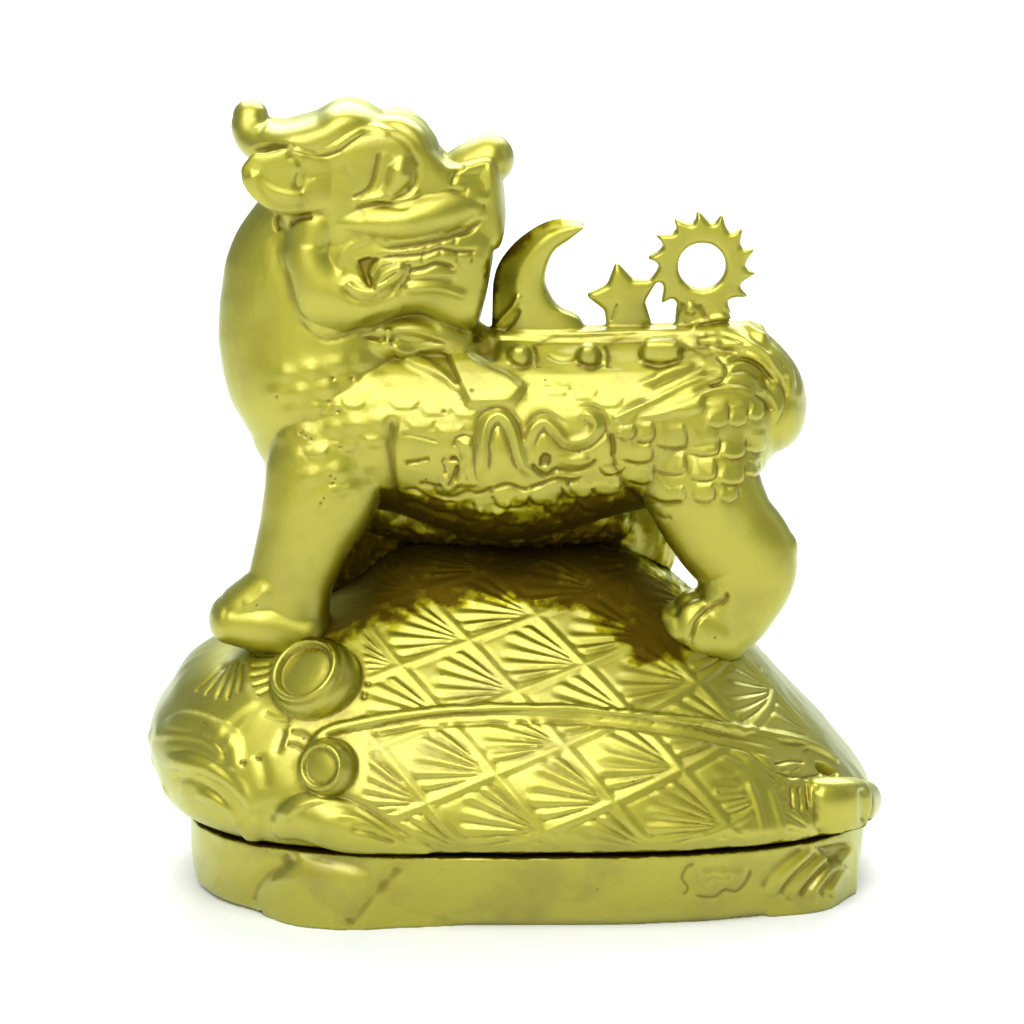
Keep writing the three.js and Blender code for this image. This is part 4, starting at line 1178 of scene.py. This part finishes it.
# Crest. One thick lock that sweeps back from the brow and turns up in a ball.
lock = [
    [-46.4, 0, 95.4, 3.1, 4.4], [-46.2, 0, 93.2, 3.5, 6.2], [-44.4, 0, 91.2, 3.9, 8.4],
    [-40, 0, 90.6, 3.9, 11], [-33.6, 0, 92.4, 4, 11.8], [-29, 0, 94.2, 4.2, 11], [-24, 0, 91.8, 3.9, 9],
]
forms.append(animal(lock, 2.5, 0.9))


# Legs. The near fore leg is upright, the far one set back, and the hind pair have bent hocks. Their
# soles follow the lid's skin and enter it by a hair, where the real figure is fixed on.
SOLE_SUNK = 0.12
SOLE_REACH = 12


def lid_height(x, y):
    """Height of the lid's skin above places of the plan: t is halved until the skin lies as far out
    as the place does."""
    low = np.zeros(np.shape(x))
    high = np.ones(np.shape(x))
    for _ in range(22):
        t = (low + high) / 2
        rise = (bundle(LID, np.arctan2(y, x), t, LID_BOTTOM, LID_HEIGHT)[..., 2] - LID_BOTTOM) / LID_HEIGHT
        skin = bundle(LID, np.arctan2(y - CROWN_BACK * rise**2, x), t, LID_BOTTOM, LID_HEIGHT)
        outside = np.abs(skin[..., 0] - MIDDLE) > np.abs(x)
        low = np.where(outside, t, low)
        high = np.where(outside, high, t)
    return skin[..., 2]


def lift(x, y, sunk):
    """How far the lid's skin at a sole lies above the lowest sole, in hundredths, less sunk."""
    return (float(lid_height(x * HUNDREDTH, y * HUNDREDTH)) - STANDING) / HUNDREDTH - sunk


def leg(rows, square=2.3, cap=0.8):
    """A limb whose underside lies on the lid's skin."""
    grid = animal(rows, square, cap)
    low = grid[..., 2] < STANDING + SOLE_REACH
    ground = lid_height(grid[..., 0][low] - MIDDLE, grid[..., 1][low])
    grid[..., 2][low] = np.maximum(grid[..., 2][low], ground - SOLE_SUNK)
    return grid


def fore_leg(x, y, z):
    """Shank, foot and instep of a fore leg at y, moved by x and raised by z."""
    shank = [
        [-33 + x, y * 0.6, 43 + z, 8.5, 7], [-33.5 + x, y * 0.86, 31 + z, 10.6, 7.4],
        [-37.6 + x, y, 19 + z, 8.2, 6.2], [-40 + x, y, 11 + z, 7.6, 6], [-40.5 + x, y, 3 + z, 7.6, 6.6],
    ]
    foot = [[-37 + x, y, 3 + z, 5, 6.8], [-44 + x, y, 4.6 + z, 5.6, 7.2], [-50.5 + x, y, 5.4 + z, 4.4, 6.6]]
    instep = [
        [-39 + x, y, 14 + z, 5.4, 5.6], [-43.6 + x, y, 10.4 + z, 5, 6], [-48.4 + x, y, 7 + z, 4.6, 6.2],
    ]
    return [leg(shank), leg(foot, cap=0.9), leg(instep)]


def hind_leg(x, y, z):
    """Shank, hock and foot of a hind leg at y, moved by x and raised by z."""
    shank = [
        [33 + x, y * 0.6, 42 + z, 12, 8], [32.5 + x, y * 0.9, 33 + z, 10.8, 8],
        [36.5 + x, y, 24 + z, 9.8, 7], [41.2 + x, y, 17 + z, 9.2, 6.4],
        [39.6 + x, y, 10 + z, 7.6, 6.4], [35.6 + x, y, 4 + z, 6.6, 6.4],
    ]
    hock = [[43 + x, y, 20.5 + z, 6.2, 4.8], [46.4 + x, y, 18.6 + z, 4.6, 4.2]]
    foot = [[36.4 + x, y, 4.6 + z, 6, 6.8], [32 + x, y, 5 + z, 6.8, 7.2], [29.4 + x, y, 4.6 + z, 5.2, 6.4]]
    return [leg(shank), leg(hock, cap=0.9), leg(foot)]


forms += fore_leg(0, -9.5, lift(-40.5, -9.5, 2.5))
forms += fore_leg(14, 9.5, lift(-26.5, 9.5, 12))
forms += hind_leg(0, -9.5, lift(35.6, -9.5, 3.8))
forms += hind_leg(-20.5, 9.5, lift(18.6, 9.5, 16.4))
# metal left between the belly and the lid
web = [[-24, 5, 24, 5, 6], [-12, 6, 21.5, 5, 8], [4, 6, 20.6, 4.4, 8], [18, 6, 22.5, 4.6, 7]]
forms.append(leg(web, 2))
leg_cuts = [
    line([(689, 646), (695, 624), (709, 609), (722, 601), (728, 592)], 3.4, -0.42),
    lap([(729, 596), (713, 609), (700, 625), (694, 646)], 12, 0.24, 3),
    line([(665, 626), (664, 609), (675, 597), (690, 591), (701, 586)], 3.6, 0.24),
    line([(673, 618), (680, 605), (694, 598), (706, 594)], 3, -0.16),
    line([(244, 607), (256, 600), (268, 589)], 5, 0.12),
    line([(228, 606), (224, 616), (226, 628)], 3, -0.08),
    line([(640, 648), (652, 642), (664, 648)], 2.6, 0.2),
]

# Tail and spine. The tail is laid up over the rump in two leaf-like locks; a ledge runs along the
# spine with studs at its side.
tail = [
    [30, 0, 55.4, 2.4, 5], [37.5, 0, 55.6, 3.2, 7], [44.2, 0, 52.6, 3.5, 8], [48.4, 0, 46.6, 3.4, 7.5],
    [47.4, 0, 40.6, 3, 6], [44, 0, 35, 2, 4],
]
ledge = [[-6, 0, 55.6, 1.6, 4], [12, 0, 56.2, 1.6, 4], [34, 0, 56.6, 1.6, 4]]
forms += [animal(tail), animal(ledge, 4, 0.3)]
for x, z, half in ((0.9, 53.9, 0.5), (13, 54.1, 0.5), (25.8, 54.9, 2.2)):
    stud = [[x - half, -8.2, z, 2.2, 2.5], [x + half, -8.2, z, 2.2, 2.5]]
    forms += both(animal, stud, square=3.4, cap=0.7)
spine_cuts = [
    lap([(768, 346), (755, 337), (738, 323), (720, 319), (703, 324), (690, 332)], 16, 0.3, 2.4),
    line([(690, 331), (703, 323), (720, 318), (738, 322), (755, 336), (768, 345)], 2.8, 0.2),
    line([(694, 337), (712, 333), (732, 338), (750, 347)], 2.4, -0.2),
    lap([(783, 384), (771, 364), (757, 351), (738, 346), (716, 349)], 14, 0.3, 2.6),
    *[line(strand, 2.8, 0.14) for strand in [
        [(724, 357), (742, 354), (760, 361), (775, 378)],
        [(728, 367), (746, 364), (762, 373), (772, 388)],
        [(752, 333), (772, 346), (788, 366), (796, 388)],
        [(766, 350), (780, 364), (789, 382), (791, 402)],
    ]],
    *[line(strand, 2.4, -0.16) for strand in [
        [(722, 362), (742, 359), (760, 367), (773, 383)],
        [(728, 372), (746, 370), (760, 379)],
        [(744, 334), (764, 348), (780, 366), (789, 388)],
        [(762, 336), (782, 352), (796, 374), (800, 396)],
        [(776, 376), (785, 394), (784, 412), (774, 430)],
        [(754, 393), (765, 401), (771, 411)],
    ]],
    line([(714, 355), (725, 364), (727, 374), (719, 383), (708, 386)], 2.6, -0.22),
    line([(708, 338), (703, 333), (696, 336), (696, 343), (703, 347), (711, 343)], 2.2, -0.14),
    line([(757, 387), (768, 394), (776, 405), (777, 413), (771, 418)], 2.8, 0.22),
    line([(676, 356), (690, 347), (705, 354), (718, 352)], 2.4, -0.16),
    line([(640, 361), (660, 366), (682, 360)], 2.6, -0.2),
    line([(575, 361), (590, 367), (606, 362)], 2.6, -0.2),
    line([(508, 361), (522, 367), (537, 361)], 2.6, -0.2),
    lap([(535, 368), (537, 355), (533, 345)], 10, -0.3, 2.4),
    lap([(606, 368), (608, 355), (604, 345)], 10, -0.3, 2.4),
    line([(500, 334), (560, 337), (620, 335), (690, 330)], 2.2, -0.1),
    line([(545, 352), (560, 360), (575, 359)], 2.6, -0.12),
]


# Moon, star and sun. Three flat emblems in a row on the ledge, each on a foot of its own: a fat
# crescent with a broad bevel on its back, a five-pointed star, and a ring with hooked points.
MOON_THICKNESS = 3.2
EMBLEM_THICKNESS = 1.6
SUN_RADIUS = 4.9
SUN_HOLE_RADIUS = 2.1
SUN_POINT_PITCH = 2.2


def upright(points):
    """Places across and up in hundredths of the figure's height, as millimetres."""
    return [(x * HUNDREDTH + MIDDLE, z * HUNDREDTH + STANDING) for x, z in points]


def crescent(back, hollow, thickness):
    """A body between two smooth curves: at each share of both it has a flat-sided oval section, whose
    depth falls off towards the back curve."""
    share = np.linspace(0, 1, 80)
    far = through(back, share)[0]
    near = through(hollow, share)[0]
    angle = np.linspace(0, 2 * math.pi, 56, endpoint=False)
    across = np.sign(np.cos(angle)) * np.abs(np.cos(angle)) ** 0.6
    depth = np.sign(np.sin(angle)) * np.abs(np.sin(angle)) ** 0.45
    depth *= 1 - 0.72 * ease((-across - 0.1) / 0.9)
    closing = np.concatenate([[0], np.ones(78), [0]])
    half = ((near - far) / 2)[:, None] * across[None, :, None] * closing[:, None, None]
    flat = ((far + near) / 2)[:, None] + half
    y = thickness / 2 * depth[None, :] * closing[:, None]
    return np.stack([flat[..., 0], y, flat[..., 1]], axis=-1)


moon = crescent(
    upright([(-4, 54), (-4, 60), (-3.8, 65.6), (-2.5, 69.6), (0.6, 73.4), (5, 76.3), (9, 77.3),
             (12.4, 76.4)]),
    upright([(14, 54), (11.7, 59.2), (8.2, 61.2), (6.2, 64), (5.5, 67), (6.9, 71.3), (9.8, 73.6),
             (12.5, 75.7)]),
    MOON_THICKNESS,
)


def star(centre, tip, valley, turn, thickness):
    """A five-pointed star with rounded edges."""
    angle = np.linspace(0, 2 * math.pi, 240, endpoint=False)
    phase = np.abs(np.mod((angle - math.pi / 2 - turn) * 5 / (2 * math.pi) + 0.5, 1) - 0.5) * 2
    half = math.pi / 5
    reach = tip * valley * math.sin(half) / (
        valley * np.sin(half * (1 - phase)) + tip * np.sin(half * phase)
    )
    reach = np.minimum(reach, 0.94 * tip)
    rim = np.column_stack([reach * np.cos(angle), np.zeros(240), reach * np.sin(angle)])
    rows = [(0, -1), (0.5, -1), (0.84, -0.92), (1, -0.55), (1, 0.55), (0.84, 0.92), (0.5, 1), (0, 1)]
    return np.stack([centre + rim * r + [0, thickness / 2 * y, 0] for r, y in rows])


def sun_ring(centre, reach, hole, thickness, count):
    """A ring with hooked points: along each point the rim climbs in a hollow curve to a blunt tip
    that leans forward, and drops in a shorter one."""
    angle = np.linspace(0, 2 * math.pi, count * 20, endpoint=False)
    phase = np.mod(angle * count / (2 * math.pi), 1)
    climb = np.where(phase < 0.56, phase / 0.56, (1 - phase) / 0.44)
    point = np.minimum(climb**2.2, 0.88) / 0.88
    rim = reach * (0.79 + 0.21 * point)
    lean = angle + 0.06 * point
    section = [(0, -0.7), (0.12, -1), (0.5, -1), (0.85, -0.95), (1, -0.5), (1, 0.5), (0.85, 0.95), (0.5, 1),
               (0.12, 1), (0, 0.7)]
    rings = []
    for share, y in section:
        r = hole + (rim - hole) * share
        turn = angle + (lean - angle) * share
        rings.append(centre + np.column_stack([r * np.cos(turn), np.full(len(r), thickness / 2 * y),
                                               r * np.sin(turn)]))
    return np.stack([*rings, rings[0]])


half_thickness = EMBLEM_THICKNESS / 2 / HUNDREDTH
star_place, sun_place = (np.array([x, 0, z]) for x, z in upright([(19.4, 62.8), (33.2, 68.8)]))
star_foot = [[19.9, 0, 54.5, 3.6, half_thickness], [19.9, 0, 58, 3.2, half_thickness],
             [19.6, 0, 61.5, 3.4, half_thickness]]
sun_foot = [[33.4, 0, 54.5, 5.6, half_thickness], [33.2, 0, 58.5, 4.7, half_thickness],
            [33, 0, 62, 4.2, half_thickness]]
points_round = round(2 * math.pi * SUN_RADIUS / SUN_POINT_PITCH)
forms += [
    moon,
    star(star_place, 7 * HUNDREDTH, 3.9 * HUNDREDTH, 0.2, EMBLEM_THICKNESS),
    sun_ring(sun_place, SUN_RADIUS, SUN_HOLE_RADIUS, EMBLEM_THICKNESS, points_round),
    animal(star_foot, 6, 0.1),
    animal(sun_foot, 6, 0.1),
]
emblem_cuts = [
    line([(494, 330), (503, 318), (514, 306), (520, 293)], 3, 0.3),
    line([(500, 334), (512, 322), (520, 308)], 2.4, -0.2),
    line([(672, 324), (677, 312), (684, 302)], 2.4, -0.2),
    line([(708, 324), (704, 312), (698, 303)], 2.4, -0.16),
    pad([(684, 306), (690, 301), (697, 306), (696, 313), (690, 316), (684, 312)], 4, 0.24),
    line([(610, 322), (614, 312), (618, 302)], 2.2, -0.12),
]

# Figure, put together. All its forms become one casting, which is carved on both sides. Dark brown
# shade is painted under the belly, and on the legs past the middle plane below it, which also get a rough
# skin.
ROUGH_SKIN = 0.08

figure = fused("qilin_casting", forms, cell=0.15, rounds=8)
places, normals = skin_of(figure)
# painted shade and rough skin on the legs' inner sides and over the far legs: past the middle plane and
# below the belly, and less so on the far hind leg
above = (places[:, 2] - STANDING) / HUNDREDTH
across = (places[:, 0] - MIDDLE) / HUNDREDTH
shaded_rough_far_half = ease((places[:, 1] + 2.2) / 2) * ease((27 - above) / 7) * (1 - 0.75 * ease((across - 18) / 5))
# painted shade on the downward faces under the belly
underside_shade = ease((-normals[:, 2] - 0.25) / 0.5) * ease((36 - above) / 8) * ease((32 - np.abs(across)) / 6)
painted_shade = np.maximum(shaded_rough_far_half, underside_shade)
# painted shade: dark brown is also painted behind the muzzle and on the moon's bevel, where shade falls
moon_back = smooth_path([(556, 219), (541, 222), (526, 231), (511, 245), (498, 261), (492, 285), (490, 315),
                         (480, 336)])
gap, _, _ = distances(spots_of(places), moon_back)
painted_shade = np.maximum(painted_shade, 0.8 * np.exp(-((gap / 11) ** 2)))
cuts = flank_cuts + head_cuts + leg_cuts + spine_cuts + emblem_cuts
height = carved(places, normals, cuts) + UNEVENNESS * uneven(places, size=3.2, seed=7)
height += ROUGH_SKIN * shaded_rough_far_half * uneven(places, size=0.9, seed=11)
places += normals * height[:, None]
finished(figure, places, 195_000, painted_shade)
figure.data.materials.append(brass("figure_brass", stain=0.6, depth=0.85, roughness=0.46, grain=0.2))
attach(figure, "root")
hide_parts("qilin_figure")
